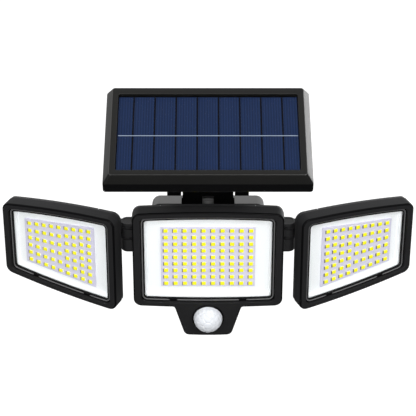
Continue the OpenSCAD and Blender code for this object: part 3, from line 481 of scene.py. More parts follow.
def corner_arc(a, b, c, radius, steps):
    """Arc of the given radius that touches ab and bc near their corner b, both touching points included."""
    u, v = (a - b) / np.linalg.norm(a - b), (c - b) / np.linalg.norm(c - b)
    half = np.arccos(np.clip(u @ v, -1, 1)) / 2
    centre = b + (u + v) / np.linalg.norm(u + v) * radius / np.sin(half)
    first, last = b + u * radius / np.tan(half), b + v * radius / np.tan(half)
    t0 = np.arctan2(*(first - centre)[::-1])
    sweep = np.arctan2(*(last - centre)[::-1]) - t0
    sweep = (sweep + np.pi) % (2 * np.pi) - np.pi
    return on_circle(centre, radius, t0 + np.linspace(0, sweep, steps))


# the chin: its width at the top and low down, heights of its root and bottom, corner radius and the least one of
# an inset outline, root fillet, how far its flank aims over the bottom, the bottom's bow, and the share of its
# width over which "even" points spread
CHIN = {"top": 48.0, "low": 36.0, "root": -41.0, "bottom": -66.2, "r": 4.5, "least_r": 1.1, "fillet": 2.0,
        "aim": 0.5, "bow": 0.45, "even_share": 0.78}
# how far out the point lies that gives the lower edge's direction at the chin's root
EDGE_STEP = 8


def lower_edge(pane, core, r, inset, reach):
    """The centre head's lower edge from its outer to its inner end, with the chin's outline hanging from it: a
    fillet, a straight flank, a corner arc, and the bottom's bow z = bottom + bow (x / half width)^2."""
    outer_end, mid = pane.length + reach, pane.length / 2
    mirror = np.array([1, -1])
    if inset == "even":
        x = np.linspace(CHIN["even_share"], -CHIN["even_share"], CHIN_POINTS) * CHIN["top"] / 2 + mid
        out = [np.linspace(outer_end, x[0], BESIDE + 1)[:-1], x, np.linspace(x[-1], -reach, BESIDE + 1)[1:]]
        return pane_edge(pane, np.concatenate(out), core, r) * mirror
    cr = max(CHIN["r"] - inset, CHIN["least_r"])
    q1 = np.array([CHIN["top"] / 2 - inset - cr, CHIN["root"]])
    q2 = np.array([CHIN["low"] / 2 - inset - cr, CHIN["bottom"] + inset + cr + CHIN["aim"]])
    d = (q2 - q1) / np.linalg.norm(q2 - q1)
    q1 = q1 + np.array([-d[1], d[0]]) * cr

    def edge(x):
        return (pane_edge(pane, np.array([x + mid]), core, r) * mirror)[0] - [mid, 0]

    root = q1 + d * ((edge(q1[0])[1] - q1[1]) / d[1])
    low = q1 + d * ((CHIN["bottom"] + inset + CHIN["bow"] - q1[1]) / d[1])
    bottom = np.array([0, CHIN["bottom"] + inset])
    hollow = corner_arc(edge(root[0] + EDGE_STEP), root, low, CHIN["fillet"] + inset, ARC + 2)
    corner = corner_arc(root, low, bottom, cr, ARC + 2)
    flank = hollow[-1] + (corner[0] - hollow[-1]) * np.linspace(0, 1, CHIN_SIDE + 2)[1:-1, None]
    x = np.linspace(corner[-1][0], -corner[-1][0], CHIN_LOW + 2)[1:-1]
    bow = bottom[1] + (corner[-1][1] - bottom[1]) * (x / corner[-1][0]) ** 2
    half = np.vstack([hollow, flank, corner])
    chin = np.vstack([half, np.c_[x, bow], half[::-1] * [-1, 1]]) + [mid, 0]
    right = pane_edge(pane, np.linspace(outer_end, chin[0, 0], BESIDE + 1)[:-1], core, r) * mirror
    left = pane_edge(pane, np.linspace(chin[-1, 0], -reach, BESIDE + 1)[1:], core, r) * mirror
    return np.vstack([right, chin, left])


# ---- finishes


class LightColours(bpy.types.PropertyGroup):
    """Colours of the main mouldings, the cells and the LEDs. A moulding shades faintly into its flow colour."""

    # the housing's colour is lighter than the bezel's same black: painted light
    housing: tone("Housing", "#2c2c2d", "Rear shells of the heads")
    housing_flow: tone("Housing flow", "#323233", "Flow marks on the rear shells")
    bezel: tone("Bezel", "#1a1a1b", "Frames round the windows")
    bezel_flow: tone("Bezel flow", "#1e1e1f", "Flow marks on the bezels")
    base: tone("Base", "#2d2d2d", "Wall base")
    base_flow: tone("Base flow", "#343434", "Flow marks on the wall base")
    surround: tone("Surround", "#121211", "Surround of the solar panel")
    surround_flow: tone("Surround flow", "#161615", "Flow marks on the surround")
    cell: tone("Cell", "#111d34", "Solar cells between their fingers")
    finger: tone("Cell finger", "#1c2c4a", "Printed fingers of the solar cells")
    phosphor: tone("Phosphor", "#fff41a", "Phosphor of the LEDs")


def make_finishes(c):
    """One material for each finish, named for the real material and how its surface was made, with the user's
    colours."""
    # a face of the mould that was polished leaves only wide and shallow unevenness
    polished = {"speck_mm": 2, "depth_mm": 0.002}
    return {
        # ABS, spark-eroded mould: dark satin black with a soft sheen, a shade lighter than the bezels' same black
        # as painted light on the hinges and rear shells that lie in the heads' shade
        "housing": moulded_plastic("abs_black_satin", c.housing, c.housing_flow, 0.42, 0.5, 0.012, 0.22),
        # ABS, finer grain: the bezels look a little deeper and glossier
        "bezel": moulded_plastic("abs_black_fine", c.bezel, c.bezel_flow, 0.38, 0.4, 0.008, 0.16),
        # the same ABS from a coarser grained side wall of the mould: duller, and a shade lighter as painted light,
        # the light that falls on the heads' outer walls and tops
        "wall": moulded_plastic("abs_black_grained", "#252526", "#29292a", 0.5, 0.7, 0.02, 0.06),
        # near-black on the rounded outer edges of the heads and on the panel's upright side: painted shade, the
        # dark line these faces show where they turn from the light
        "edge": plain("abs_black_edge", "#070708", 0.3, **polished, specular=0.06),
        # folds of the panel's surround: glossier, and a shade lighter than the surround as a painted highlight, the
        # thin light line along the fold
        "fold": plain("abs_panel_fold", "#1c1c1b", 0.3, **polished, specular=0.6),
        # the thin bead round each window: grey and glossier than the rim, its grey a painted highlight, the light
        # line that the bead catches
        "bead": plain("tpe_grey_satin", "#5a5a5b", 0.3, **polished),
        # ABS with mineral filler: the wall base looks greyer than the heads
        "base": moulded_plastic("abs_grey_satin", c.base, c.base_flow, 0.40, 0.5, 0.012, 0.25),
        # ABS, satin: the solar panel's surround
        "surround": moulded_plastic("abs_panel_satin", c.surround, c.surround_flow, 0.36, 0.5, 0.01, 0.15),
        # glass-filled nylon: the bracket is dull and nearly black
        "bracket": moulded_plastic("nylon_black_dull", "#060607", "#0a0a0b", 0.55, 0.6, 0.02, 0.15),
        # polished ABS: the ring round the sensor; on the channel round each window the same near-black is painted
        # shade
        "ring": plain("abs_black_polished", "#050506", 0.22, **polished, specular=0.25),
        # silicone rubber, pressed: soft dull black without gloss
        "rubber": plain("silicone_rubber_black", "#151516", 0.7, ior=1.41),
        # zinc-plated steel, turned and pressed: small bright points among the black
        "steel": plain("steel_zinc_plated", "#b9babd", 0.32, metallic=1.0, speck_mm=0.6, depth_mm=0.004),
        # steel with a black oxide coat: the hinge bolts look like the plastic round them
        "black_steel": plain("steel_black_oxide", "#0d0d0e", 0.4, speck_mm=0.6, depth_mm=0.004, specular=0.3),
        # PVC, shrunk over the cell: smooth blue
        "sleeve": plain("pvc_sleeve_blue", "#2f5d8c", 0.35, ior=1.53),
        # glass epoxy under green solder mask: half dull
        "board": plain("glass_epoxy_green", "#1f5130", 0.45, ior=1.55, speck_mm=0.5),
        # aluminium board under white solder mask: pale lavender grey
        "led_board": plain("solder_mask_white", "#d5d0e2", 0.5, ior=1.55, speck_mm=1.2, speck=0.03),
        # polycarbonate, moulded matt: an even white field round the LEDs
        "reflector": plain("polycarbonate_white_matt", "#f7f7f8", 0.55, ior=1.58, speck_mm=2, speck=0.01),
        # phosphor in silicone: strong yellow when off
        "phosphor": plain("phosphor_silicone_yellow", c.phosphor, 0.5, ior=1.41, speck_mm=0.4, speck=0.05),
        # PMMA, injection-moulded and polished: hardly seen but for a faint gloss
        "lens": clear_sheet("pmma_clear_polished", "#feffff", 0.35, 0.08),
        # PET film with an anti-glare face over the cells: it takes the sparkle off them
        "film": clear_sheet("pet_film_antiglare", "#fbfcff", 0.05, 0.3),
        # polyester back sheet of the laminate: the black between the cells
        "back_sheet": plain("tpt_sheet_black", "#040506", 0.6, ior=1.45, specular=0.08),
        # copper ribbon, tinned by dipping: one thin pale line across the cells
        "ribbon": plain("copper_ribbon_tinned", "#a3afb8", 0.4, metallic=0.5, speck_mm=0.5, depth_mm=0.003),
        # PPA, moulded: the white body of each LED
        "led_case": plain("ppa_white_moulded", "#efeff6", 0.5, ior=1.55),
        # a low pad beside each LED, dark as painted shade, the LED's shadow, kept on the same hand on every head
        "contact": plain("leadframe_grey", "#6f6c84", 0.5, speck_mm=0.4),
        # silicon wafers, sawn, coated and printed: deep blue with fine lines
        "cells": silicon("silicon_polycrystalline", c.cell, c.finger),
        # high-density polyethylene, moulded thin: milky white
        "dome": plain("polyethylene_milky", "#d4d7dc", 0.36, ior=1.54, speck_mm=3, speck=0.03),
    }


# how the names end of the nodes with each finish; the first row that fits a name counts
NAME_ENDS = {
    "base": ("base_housing", "base_back_cover"),
    "surround": ("panel_frame", "panel_back_cover"),
    "film": "panel_cover_sheet",
    "cells": "solar_cells",
    "back_sheet": "panel_back_sheet",
    "bracket": "panel_bracket",
    "black_steel": "_hinge_bolt",
    "rubber": ("_gasket", "_lens_seal"),
    "sleeve": "battery",
    "led_board": "_led_board",
    "board": "_board",
    "dome": "sensor_dome",
    "ring": ("sensor_collar", "mode_switch"),
    "housing": ("_housing", "mode_button"),
    "bezel": "_bezel",
    "lens": "_lens",
    "reflector": "_reflector",
    "phosphor": "_leds",
    "steel": ("_screws", "_bolt", "_nut", "_element"),
}
# the materials by finish, filled by the first operator
FINISHES = {}


class LIGHT_OT_finishes(bpy.types.Operator):
    """Gives every node of the frame its finish"""

    bl_idname = "light.finishes"
    bl_label = "Finishes"

    def execute(self, context):
        FINISHES.update(make_finishes(context.scene.light_colours))
        for name, obj in NODES.items():
            obj.data.materials.clear()
            obj.data.materials.append(FINISHES[next(k for k, ends in NAME_ENDS.items() if name.endswith(ends))])
        return {"FINISHED"}


# ---- solar panel


class PanelSizes(bpy.types.PropertyGroup):
    """Sizes of the solar panel's surround and of its cells."""

    width: metres("Width", 0.1448, "Width of the panel")
    length: metres("Length", 0.0914, "Length of the panel")
    fold: metres("Fold", 0.0007, "Softening of the folds")
    lip: metres("Lip", 0.00045, "Softening of the recess's rim")
    cells: IntProperty(name="Whole cells", default=7, description="Number of whole cells")
    pitch: metres("Cell pitch", 0.015, "Pitch of the cells")
    gap: metres("Cell gap", 0.0012, "Gap between two cells")
    ribbon: metres("Ribbon", 0.0006, "Width of the tinned ribbon")


# heights over the tilt axis: the surround's back edge, the start of its bevel, its top, and the shelf and the
# underside of its recess
BACK_Z, BEVEL_Z, TOP_Z, SHELF_Z, UNDER_Z = 71.5, 79, 86.2, 83.2, 81.2
# how much wider the margin is at the rear
REAR_EXTRA = 1.6


class LIGHT_OT_surround(bpy.types.Operator):
    """Makes the panel's moulded surround: one section carried round the panel's outline"""

    bl_idname = "light.surround"
    bl_label = "Panel surround"

    def execute(self, context):
        s = context.scene.light_panel
        w, l, fold, lip = (v / MM for v in (s.width, s.length, s.fold, s.lip))
        more = REAR_EXTRA
        # each row of the section: inset at the sides, inset at the ends, height, corner radius, more at the rear
        section = [
            (2.5, 2.5, 73.7, 1.5, 0), (2.5, 2.5, BACK_Z, 1.5, 0), (0, 0, BACK_Z, 2, 0), (0, 0, BEVEL_Z, 2, 0),
            (4.4, 2.6, TOP_Z, 2, 0), (8.6, 7.35, TOP_Z, 1.5, more), (8.6, 7.35, 84.72, 1.5, more),
            (8.65, 7.4, SHELF_Z, 1.5, more), (10.7, 10.05, SHELF_Z, 1.5, more), (10.7, 10.05, UNDER_Z, 1.5, more),
            (2.5, 2.5, 76.5, 1.5, 0), (2.5, 2.5, 73.8, 1.5, 0),
        ]
        reach = [0, 0.3, 0.9, fold, fold, lip, 0, 0.1, 0.3, 0.3, 0.3, 0]
        rows = []
        for a, b, z, r, e in soft_profile(section, reach):
            outline = rounded_rectangle(w - 2 * a, l - 2 * b - e, r) - [0, e / 2]
            rows.append(np.insert(outline, 2, z, axis=1))
        obj = make_piece("panel_surround", [moved(ring_shell(np.stack(rows)), PANEL)], "surround", "panel",
                         ["panel_frame"], angle=25)

        def fold_painted_highlight(c, n):
            """The leaning faces close under the top: the fold between it and the bevel, which takes the painted
            highlight.
            """
            return (c[:, 2] > TOP_Z - 0.7) & (n[:, 2] > 0.7) & (n[:, 2] < 0.97)

        def upright(c, n):
            """The upright side below the bevel, which takes the near-black finish as painted shade."""
            return (c[:, 2] < BEVEL_Z + 0.3) & (np.abs(n[:, 2]) < 0.25)

        # the fold takes the lighter finish: painted highlight
        second_finish(obj, PANEL, "fold", fold_painted_highlight)
        # the upright side takes the near-black finish: painted shade
        second_finish(obj, PANEL, "edge", upright)
        return {"FINISHED"}


# the cells' limits along the panel and in height, and how much of the row each cut cell takes with half its gap
CELL_Y, CELL_Z, CUT_L = (-38.0, 35.2), (84.0, 84.24), 10.6
# the ribbon's place along the panel, its ends' distance from the row's ends, and the heights of its foot, sides
# and ridge
RIBBON_Y, RIBBON_END, RIBBON_Z = -3.4, 0.4, (84.2, 84.26, 84.29)


class LIGHT_OT_cells(bpy.types.Operator):
    """Makes the cells, a hair under the film so that no two faces share a plane, and the ribbon that joins them"""

    bl_idname = "light.cells"
    bl_label = "Cells and ribbon"

    def execute(self, context):
        s = context.scene.light_panel
        pitch, gap, side = s.pitch / MM, s.gap / MM, s.ribbon / MM / 2
        half = s.cells / 2 * pitch + CUT_L
        middle = (np.arange(s.cells) - (s.cells - 1) / 2) * pitch
        whole = repeated(box_shell((-(pitch - gap) / 2, (pitch - gap) / 2), CELL_Y, CELL_Z),
                         np.c_[middle, np.zeros((s.cells, 2))])
        cut = [box_shell(x, CELL_Y, CELL_Z)
               for x in ((-half, -half + CUT_L - gap / 2), (half - CUT_L + gap / 2, half))]
        make_piece("cell_strings", [moved(shell, PANEL) for shell in (whole, *cut)], "cells", "panel",
                   ["solar_cells"])
        foot, edge, ridge = RIBBON_Z
        section = np.array([[-side, foot], [-side, edge], [0, ridge], [side, edge], [side, foot]]) + [RIBBON_Y, 0]
        x = np.linspace(RIBBON_END - half, half - RIBBON_END, 60)
        grid = np.stack([np.insert(section, 0, a, axis=1) for a in x])
        make_piece("cell_ribbon", [moved(capped_shell(grid), PANEL)], "ribbon", "panel")
        return {"FINISHED"}


# ---- heads


class HeadSizes(bpy.types.PropertyGroup):
    """Sizes of the bezels' sections and of the LEDs."""

    soft: metres("Outer softening", 0.0014, "Round of the outer edge")
    bead: metres("Bead", 0.00045, "Height of the bead in the rim")
    wall: metres("Wall", 0.0024, "Wall thickness of the bezels")
    notch: metres("Notch", 0.0062, "Width of the notches in the bead")
    led_bar: metres("LED contact", 0.00065, "Width of the dark contact beside each LED")


# bevel of the bezels' back edge
BACK_BEVEL = 0.3


def bezel_rows(s):
    """The bezel's section from its outer back edge over the face and the ledge of the rim to the back: rows of
    depth, margin outside the window, and corner radius."""
    soft, wall = s.soft / MM, s.wall / MM
    a = np.linspace(0, np.pi / 2, 7)
    drop, cut = soft * (1 - np.sin(a)), soft * (1 - np.cos(a))
    start = [(BEZEL_BACK, BORDER - BACK_BEVEL, HEAD_R - BACK_BEVEL), (BEZEL_BACK - BACK_BEVEL, BORDER, HEAD_R),
             (3, BORDER, HEAD_R)]
    outer = np.c_[FACE + drop, BORDER - cut, HEAD_R - cut]
    rim = soft_profile([(FACE, 3.7, 3.9), (FACE, 2.9, 3.8), (LEDGE, 2.75, 3.7), (LEDGE, 2.4, 3.6)],
                       [0, 0.35, 0.1, 0], 5)
    inner = soft_profile([(LEDGE, 0.6, 2.7), (LEDGE, 0.0, WINDOW_R), (0, 0, WINDOW_R), (0, 2.3, 3.7)],
                         [0, 0.25, 0, 0], 4)
    back = [(0, BORDER - wall, HEAD_R - wall), (BEZEL_BACK, BORDER - wall, HEAD_R - wall)]
    return start, outer, rim, inner, back


def bezel_grid(pane, s, chin):
    """Grid of the bezel: the section's rows carried round the window's outline. Between the outer and the inner
    outline the face is ruled: (1-t) outer + t inner."""
    start, outer, rim, inner, back = bezel_rows(s)

    def loop(row, outside):
        y, m, r = row
        kind = None if not chin else (BORDER - m if outside else "even")
        return np.insert(pane_outline(pane, m, r, kind, pane.extra if outside else 0.0), 1, y, axis=1)

    t = np.array([0.25, 0.5, 0.75])[:, None, None]
    edge = [loop(r, True) for r in [*start, *outer]]
    front = [loop(r, False) for r in rim]
    face = edge[-1] * (1 - t) + front[0] * t
    inside = [loop(r, False) for r in inner]
    shell = [loop(r, True) for r in back]
    wall = inside[-1] * (1 - t) + shell[0] * t
    return np.stack([*edge, *face, *front, *inside, *wall, *shell])


# the bead's margin outside the window and half width, how deep its foot lies in the ledge, the share of its margin
# that goes into its corner radius, where its notches lie by the window's length, and over what length it fades
BEAD_M, BEAD_HALF, BEAD_FOOT, BEAD_SHARE, NOTCH_SHARE, NOTCH_FADE = 1.6, 0.5, 0.1, 0.85, 0.217, 0.7
# the channel is a near-black strip laid in the rim's groove: painted shade
# the channel's margins, the share of a margin that goes into its corner radius, and how far it stands over the
# ledge and reaches under it
CHANNEL_M, CHANNEL_SHARE, PROUD, SUNK = (2.7, 0.05), 0.55, 0.05, 0.2


def bead_grid(pane, s):
    """Grid of the bead on the rim's ledge: a half round, margin M + half width cos a and height h sin a, carried
    round the window. It sinks into the ledge at the two notches of the lower edge."""
    a = np.linspace(0, np.pi, 9)
    rows = []
    for margin, height in zip(BEAD_M + BEAD_HALF * np.cos(a), s.bead / MM * np.sin(a)):
        p = pane_outline(pane, margin, WINDOW_R + margin * BEAD_SHARE)
        near = np.minimum(*(np.abs(p[:, 0] - share * pane.length) for share in (NOTCH_SHARE, 1 - NOTCH_SHARE)))
        gone = np.clip(((s.notch / MM + NOTCH_FADE) / 2 - near) / NOTCH_FADE, 0, 1) * (p[:, 1] < 0)
        depth = LEDGE + BEAD_FOOT - (height + BEAD_FOOT) * (1 - gone)
        rows.append(np.insert(p, 1, depth, axis=1))
    return np.stack(rows)


def shade_channel_grid(pane):
    """Grid of the polished near-black channel that the bead lies in, painted shade in the rim's groove: a flat
    strip round the window, a hair proud of the ledge."""
    low, high, (outer, inner) = LEDGE + SUNK, LEDGE - PROUD, CHANNEL_M
    return np.stack([np.insert(pane_outline(pane, margin, WINDOW_R + margin * CHANNEL_SHARE), 1, depth, axis=1)
                     for depth, margin in ((low, outer), (high, outer), (high, inner), (low, inner))])


# radius, front and back of the bores for the sensor's dome and for its ring, and the angle past which the
# bezels' edges are sharp
SENSOR_BORES, BEZEL_ANGLE = ((10.55, -4, 2), (11.7, -4, -1.5)), 28
# a normal's part along Y: less than the first on a side wall, and past the second on the face
WALL_NORMAL, FACE_NORMAL = 0.5, -0.985


class LIGHT_OT_bezels(bpy.types.Operator):
    """Makes the three bezels: a thin-walled section carried round each window, the centre one with the chin"""

    bl_idname = "light.bezels"
    bl_label = "Bezels"

    def execute(self, context):
        s = context.scene.light_head
        for head, (pane, frame) in HEADS.items():
            centre = head == "centre"
            shell = moved(ring_shell(bezel_grid(pane, s, centre)), frame)
            obj = make_piece(f"{head}_bezel_moulding", [shell], "bezel", f"{head}_head",
                             [f"{head}_bezel"], angle=BEZEL_ANGLE)
            if centre:
                self.bore(obj, HEAD @ shift(0, 0, DOME_Z))
            self.grain(obj, frame, pane, FACE + s.soft / MM)
        for head, (pane, frame) in HEADS.items():
            shell = moved(ring_shell(bead_grid(pane, s)), frame)
            # the bead's grey finish is a painted highlight
            make_piece(f"{head}_rim_bead", [shell], "bead", f"{head}_head", angle=60)
            # the near-black channel under the bead is painted shade
            shell = moved(ring_shell(shade_channel_grid(pane)), frame)
            make_piece(f"{head}_rim_channel", [shell], "ring", f"{head}_head")
        return {"FINISHED"}

    def grain(self, obj, frame, pane, wall_front):
        """The side walls, whose normals point away from the window's middle, take a lighter copy of the bezel's
        finish, painted light, and the round between them and the face takes a near-black one, painted shade."""

        def outside(c, n):
            return n[:, 0] * (c[:, 0] - pane.length / 2) + n[:, 2] * c[:, 2] > 0

        # the side walls take the lighter finish: painted light
        def wall(c, n):
            return outside(c, n) & (c[:, 1] > wall_front) & (np.abs(n[:, 1]) < WALL_NORMAL)

        # the round between wall and face takes the near-black finish: painted shade
        def edge(c, n):
            return outside(c, n) & (c[:, 1] <= wall_front) & (n[:, 1] > FACE_NORMAL)

        second_finish(obj, frame, "wall", wall)
        second_finish(obj, frame, "edge", edge)

    def bore(self, obj, frame):
        """Cuts the sensor's bores, round holes along Y, with exact booleans that are applied."""
        for r, front, back in SENSOR_BORES:
            shell = moved(moved(capped_shell(turned([(r, front), (r, back)], 96)), FACING_BACK), frame)
            cutter = new_object("cutter", shell_mesh("cutter", [shell]))
            mod = obj.modifiers.new("bore", "BOOLEAN")
            mod.operation, mod.solver, mod.object = "DIFFERENCE", "EXACT", cutter
            bored = bpy.data.meshes.new_from_object(obj.evaluated_get(bpy.context.evaluated_depsgraph_get()))
            bored.name = obj.data.name + "_bored"
            obj.modifiers.clear()
            obj.data = bored
            bpy.data.objects.remove(cutter)
        obj.data.set_sharp_from_angle(angle=np.radians(BEZEL_ANGLE))


# the centre board's columns and rows of LEDs, their pitches, and the rows' height over the window's middle
COLUMNS, ROWS, PITCH_X, PITCH_Z, CENTRE_RISE = 10, 9, 6.74, 5.67, -0.1
# a side board's LEDs in each column from the inner end outwards, its place in the window, length, and heights at
# its two ends, the first and last columns' places on it, the margin over a column, and the rise of its middle
SIDE_COUNTS = (8, 8, 7, 7, 6, 6, 6, 6, 6)
BOARD_X, BOARD_L, BOARD_H = 11.35, 56.6, (51.2, 37.1)
FIRST_X, LAST_X, MARGIN_Z, SIDE_RISE = 4, 52.6, 3.3, -0.9


def led_places(head):
    """Centres of the LEDs. Centre, from the window's middle: even columns and rows. Sides, from the window's inner
    end: each column spreads its own count evenly between the board's slanted edges."""
    if head == "centre":
        x = (np.arange(COLUMNS) - (COLUMNS - 1) / 2) * PITCH_X
        z = (np.arange(ROWS) - (ROWS - 1) / 2) * PITCH_Z + CENTRE_RISE
        return np.stack([np.tile(x, ROWS), np.zeros(ROWS * COLUMNS), np.repeat(z, COLUMNS)], -1)
    x = np.linspace(FIRST_X, LAST_X, len(SIDE_COUNTS))
    half = (BOARD_H[0] + (BOARD_H[1] - BOARD_H[0]) * x / BOARD_L) / 2 - MARGIN_Z
    return np.vstack([np.stack([np.full(n, a + BOARD_X), np.zeros(n), h * np.linspace(-1, 1, n) + SIDE_RISE], -1)
                      for n, a, h in zip(SIDE_COUNTS, x, half)])


# each LED part's limits across and up, and its levels as (depth behind the window's plane, inset); the contact
# runs from its inner limit to its bar, which starts at FOOT_START and is as wide as the user sets
CASE_X, CASE_Z = (-1.05, 2.0), (-1.2, 1.2)
CASE_LEVELS = ((2.8, 0), (2.15, 0), (2.1, 0.05), (2.1, 0.16), (2.32, 0.3))
GLOW_X, GLOW_Z = (-1.15, 1.75), (-1.15, 1.25)
GLOW_LEVELS = ((2.8, 0), (2.1, 0), (2.03, 0.12), (2.0, 0.5))
FOOT_INNER, FOOT_START, FOOT_Z = -1.0, -1.2, (-1.3, 1.3)
FOOT_LEVELS = ((2.8, 0), (2.3, 0), (2.22, 0.08))


def pad_shell(x, z, levels, mirror=1):
    """Low pad: rectangles stacked at each (depth, inset), then capped. mirror is -1 where X is turned round."""
    x, rings = np.sort(mirror * np.array(x)), []
    for y, inset in levels:
        x0, x1, z0, z1 = x[0] + inset, x[1] - inset, z[0] + inset, z[1] - inset
        rings.append([[x0, y, z0], [x1, y, z0], [x1, y, z1], [x0, y, z1]])
    return capped_shell(np.array(rings, float))


class LIGHT_OT_leds(bpy.types.Operator):
    """Makes every LED: a white package with a sloped well, its yellow phosphor and the dark contact beside it,
    whose dark is painted shade
    """

    bl_idname = "light.leds"
    bl_label = "LEDs"

    def execute(self, context):
        bar = context.scene.light_head.led_bar / MM
        for head, (_, frame) in HEADS.items():
            frame = HEAD if head == "centre" else frame
            # the left head's frame is mirrored, and every LED has its dark contact, painted shade, on the same hand
            mirror = -1 if head == "left" else 1
            for name, shell, finish, slot, nodes in (
                ("led_cases", pad_shell(CASE_X, CASE_Z, CASE_LEVELS, mirror), "led_case", "white_reflector",
                 [f"{head}_leds"]),
                ("led_phosphors", pad_shell(GLOW_X, GLOW_Z, GLOW_LEVELS, mirror), "phosphor", "led_phosphor", []),
                ("led_contacts", pad_shell((FOOT_START - bar, FOOT_INNER), FOOT_Z, FOOT_LEVELS, mirror), "contact",
                 "led_board", []),
            ):
                make_piece(f"{head}_{name}", [moved(repeated(shell, led_places(head)), frame)], finish,
                           f"{head}_head", nodes)
        return {"FINISHED"}


# ---- motion sensor


class SensorSizes(bpy.types.PropertyGroup):
    """Sizes of the sensor's dome."""

    radius: metres("Dome radius", 0.0104, "Radius of the dome")
    facet: metres("Facet groove", 0.00036, "Depth of the grooves between the Fresnel facets")


# the sensor's frame: its heights start at the bezel's face
SENSOR = HEAD @ shift(0, FACE, DOME_Z) @ FACING_FRONT
# the ring's section as (radius, height), and how far its corners are rounded
RING = ((10.5, -0.4), (10.5, 0.8), (11.65, 0.8), (11.65, -1), (10.5, -1), (10.5, -0.5))
RING_REACH = (0, 0.3, 0.45, 0.1, 0.1, 0)
# the dome's wall, the number of facets in each ring round the pole one, the rings' outer edges in degrees, and
# the half width of the grooves
DOME_WALL, FACETS, FACET_EDGES, GROOVE_W = 1, (6, 12, 18), (17, 38, 60, 82), 0.45
# the dome's skirt: how far it stands out, and the heights of its upper edge's two ends and of its foot
SKIRT_OUT, SKIRT_Z = 0.9, (-2.4, -2.6, -3.4)
# rows and columns of the dome's grid
DOME_ROWS, DOME_TURN = 60, 144


class LIGHT_OT_sensor(bpy.types.Operator):
    """Makes the faceted dome and the ring round it"""

    bl_idname = "light.sensor"
    bl_label = "Motion sensor"

    def execute(self, context):
        s = context.scene.light_sensor
        self.dome(s.radius / MM, s.facet / MM)
        ring = turned(soft_profile(RING, RING_REACH, 6), 96)
        make_piece("sensor_ring", [moved(ring_shell(ring), SENSOR)], "ring", "centre_head",
                   ["sensor_collar"], angle=40)
        return {"FINISHED"}

    def dome(self, radius, groove):
        """Points r (sin t cos b, sin t sin b, cos t): outside r = R less the groove near a facet's border, inside
        R less the wall. One facet lies on the pole and the others in rings round it, each second ring turned by
        half a facet. The groove fades with the distance d from the border as exp(-(d / its half width)^2)."""
        t, b = np.meshgrid(np.linspace(0, np.pi / 2, DOME_ROWS),
                           np.linspace(0, 2 * np.pi, DOME_TURN, endpoint=False), indexing="ij")
        way = np.stack([np.sin(t) * np.cos(b), np.sin(t) * np.sin(b), np.cos(t)], -1)
        edges = np.radians(FACET_EDGES)
        d = np.min(np.abs(t[..., None] - edges), -1) * radius
        for k, n in enumerate(FACETS):
            inside = (t > edges[k]) & (t <= edges[k + 1])
            part = (b * n / (2 * np.pi) + 0.5 * (k % 2)) % 1
            across = np.abs(part - np.round(part)) * 2 * np.pi / n * radius * np.sin(t)
            d = np.where(inside, np.minimum(d, across), d)
        outer = (radius - groove * np.exp(-((d / GROOVE_W) ** 2)))[..., None] * way
        rim, out, foot = SKIRT_Z
        wide, narrow = radius + SKIRT_OUT, radius - DOME_WALL
        skirt = turned([(radius, rim), (wide, out), (wide, foot), (narrow, foot)], DOME_TURN)
        # the inside goes back up, with a third of the rows, and closes at the pole
        inner = (narrow * way)[::-1][::3]
        rows = np.concatenate([outer, skirt, inner, inner[-1:] * [0, 0, 1]])
        shell = rows.reshape(-1, 3), grid_faces(len(rows), DOME_TURN).tolist()
        make_piece("sensor_lens_dome", [moved(shell, SENSOR)], "dome", "centre_head",
                   ["sensor_dome"], angle=50)


# ---- screws

# shares of a screw head's height: its dome and the depth of its cross; shares of its radius: half an arm's width,
# the arms' reach, and how softly the arms' sides and ends fall off
CROWN_SHARE, CROSS_SHARE, ARM_SHARE, REACH_SHARE, FALL_SHARES = 0.35, 0.55, 0.16, 0.62, (0.06, 0.1)
# length of a screw's pointed end, and points round it
POINT_L, SCREW_TURN = 0.6, 64
# head radius and height, shank radius and length: the fixings of the base and panel, and those of the heads
BODY_SCREW, HEAD_SCREW = (2.15, 1.35, 1.2, 9.5), (1.85, 1.25, 1.0, 8)


def screw_shell(head_r, head_h, shank_r, shank_l):
    """Pan-head screw with its head up from height 0: the head's top is h (1 - crown (r/R)^4), less a cross recess
    whose arms are |x| or |y| under their share of R, as far as their reach, and whose depth falls off smoothly."""
    a = np.linspace(0, 2 * np.pi, SCREW_TURN, endpoint=False)
    q = np.linspace(1, 0, 15)[:, None]
    x, y = q * np.cos(a), q * np.sin(a)
    side, end = FALL_SHARES
    cross = np.clip((ARM_SHARE - np.minimum(np.abs(x), np.abs(y))) / side + 0.5, 0, 1)
    cross = cross * np.clip((REACH_SHARE - q) / end + 0.5, 0, 1)
    top = np.stack([head_r * x, head_r * y, head_h * (1 - CROWN_SHARE * q**4 - CROSS_SHARE * cross)], -1)
    low = turned([(0, -shank_l), (shank_r / 2, -shank_l), (shank_r, POINT_L - shank_l), (shank_r, -0.01),
                  (shank_r, 0), (head_r * 0.98, 0)], SCREW_TURN)
    rows = np.concatenate([low, top])
    return rows.reshape(-1, 3), grid_faces(len(rows), SCREW_TURN).tolist()


# half the distances between the four screws of a set, and where their heads sit: along Y for the base, and over
# the tilt axis for the panel and for its bracket's foot, whose set lies behind the panel's middle
BASE_SPOTS, BASE_SEAT = (34.8, 25.5), -1.4
PANEL_SPOTS, PANEL_SEAT = (64.9, 38.2), 72.9
FOOT_SPOTS, FOOT_SEAT, FOOT_BACK = (29, 8.6), 68.5, 7.5
# the same for the heads: shares of the window's length, distance from its edge, and depth of the seat
HEAD_SCREW_SHARES, HEAD_SCREW_M, HEAD_SEAT = (0.13, 0.87, 0.13, 0.87), 4.65, 8.7


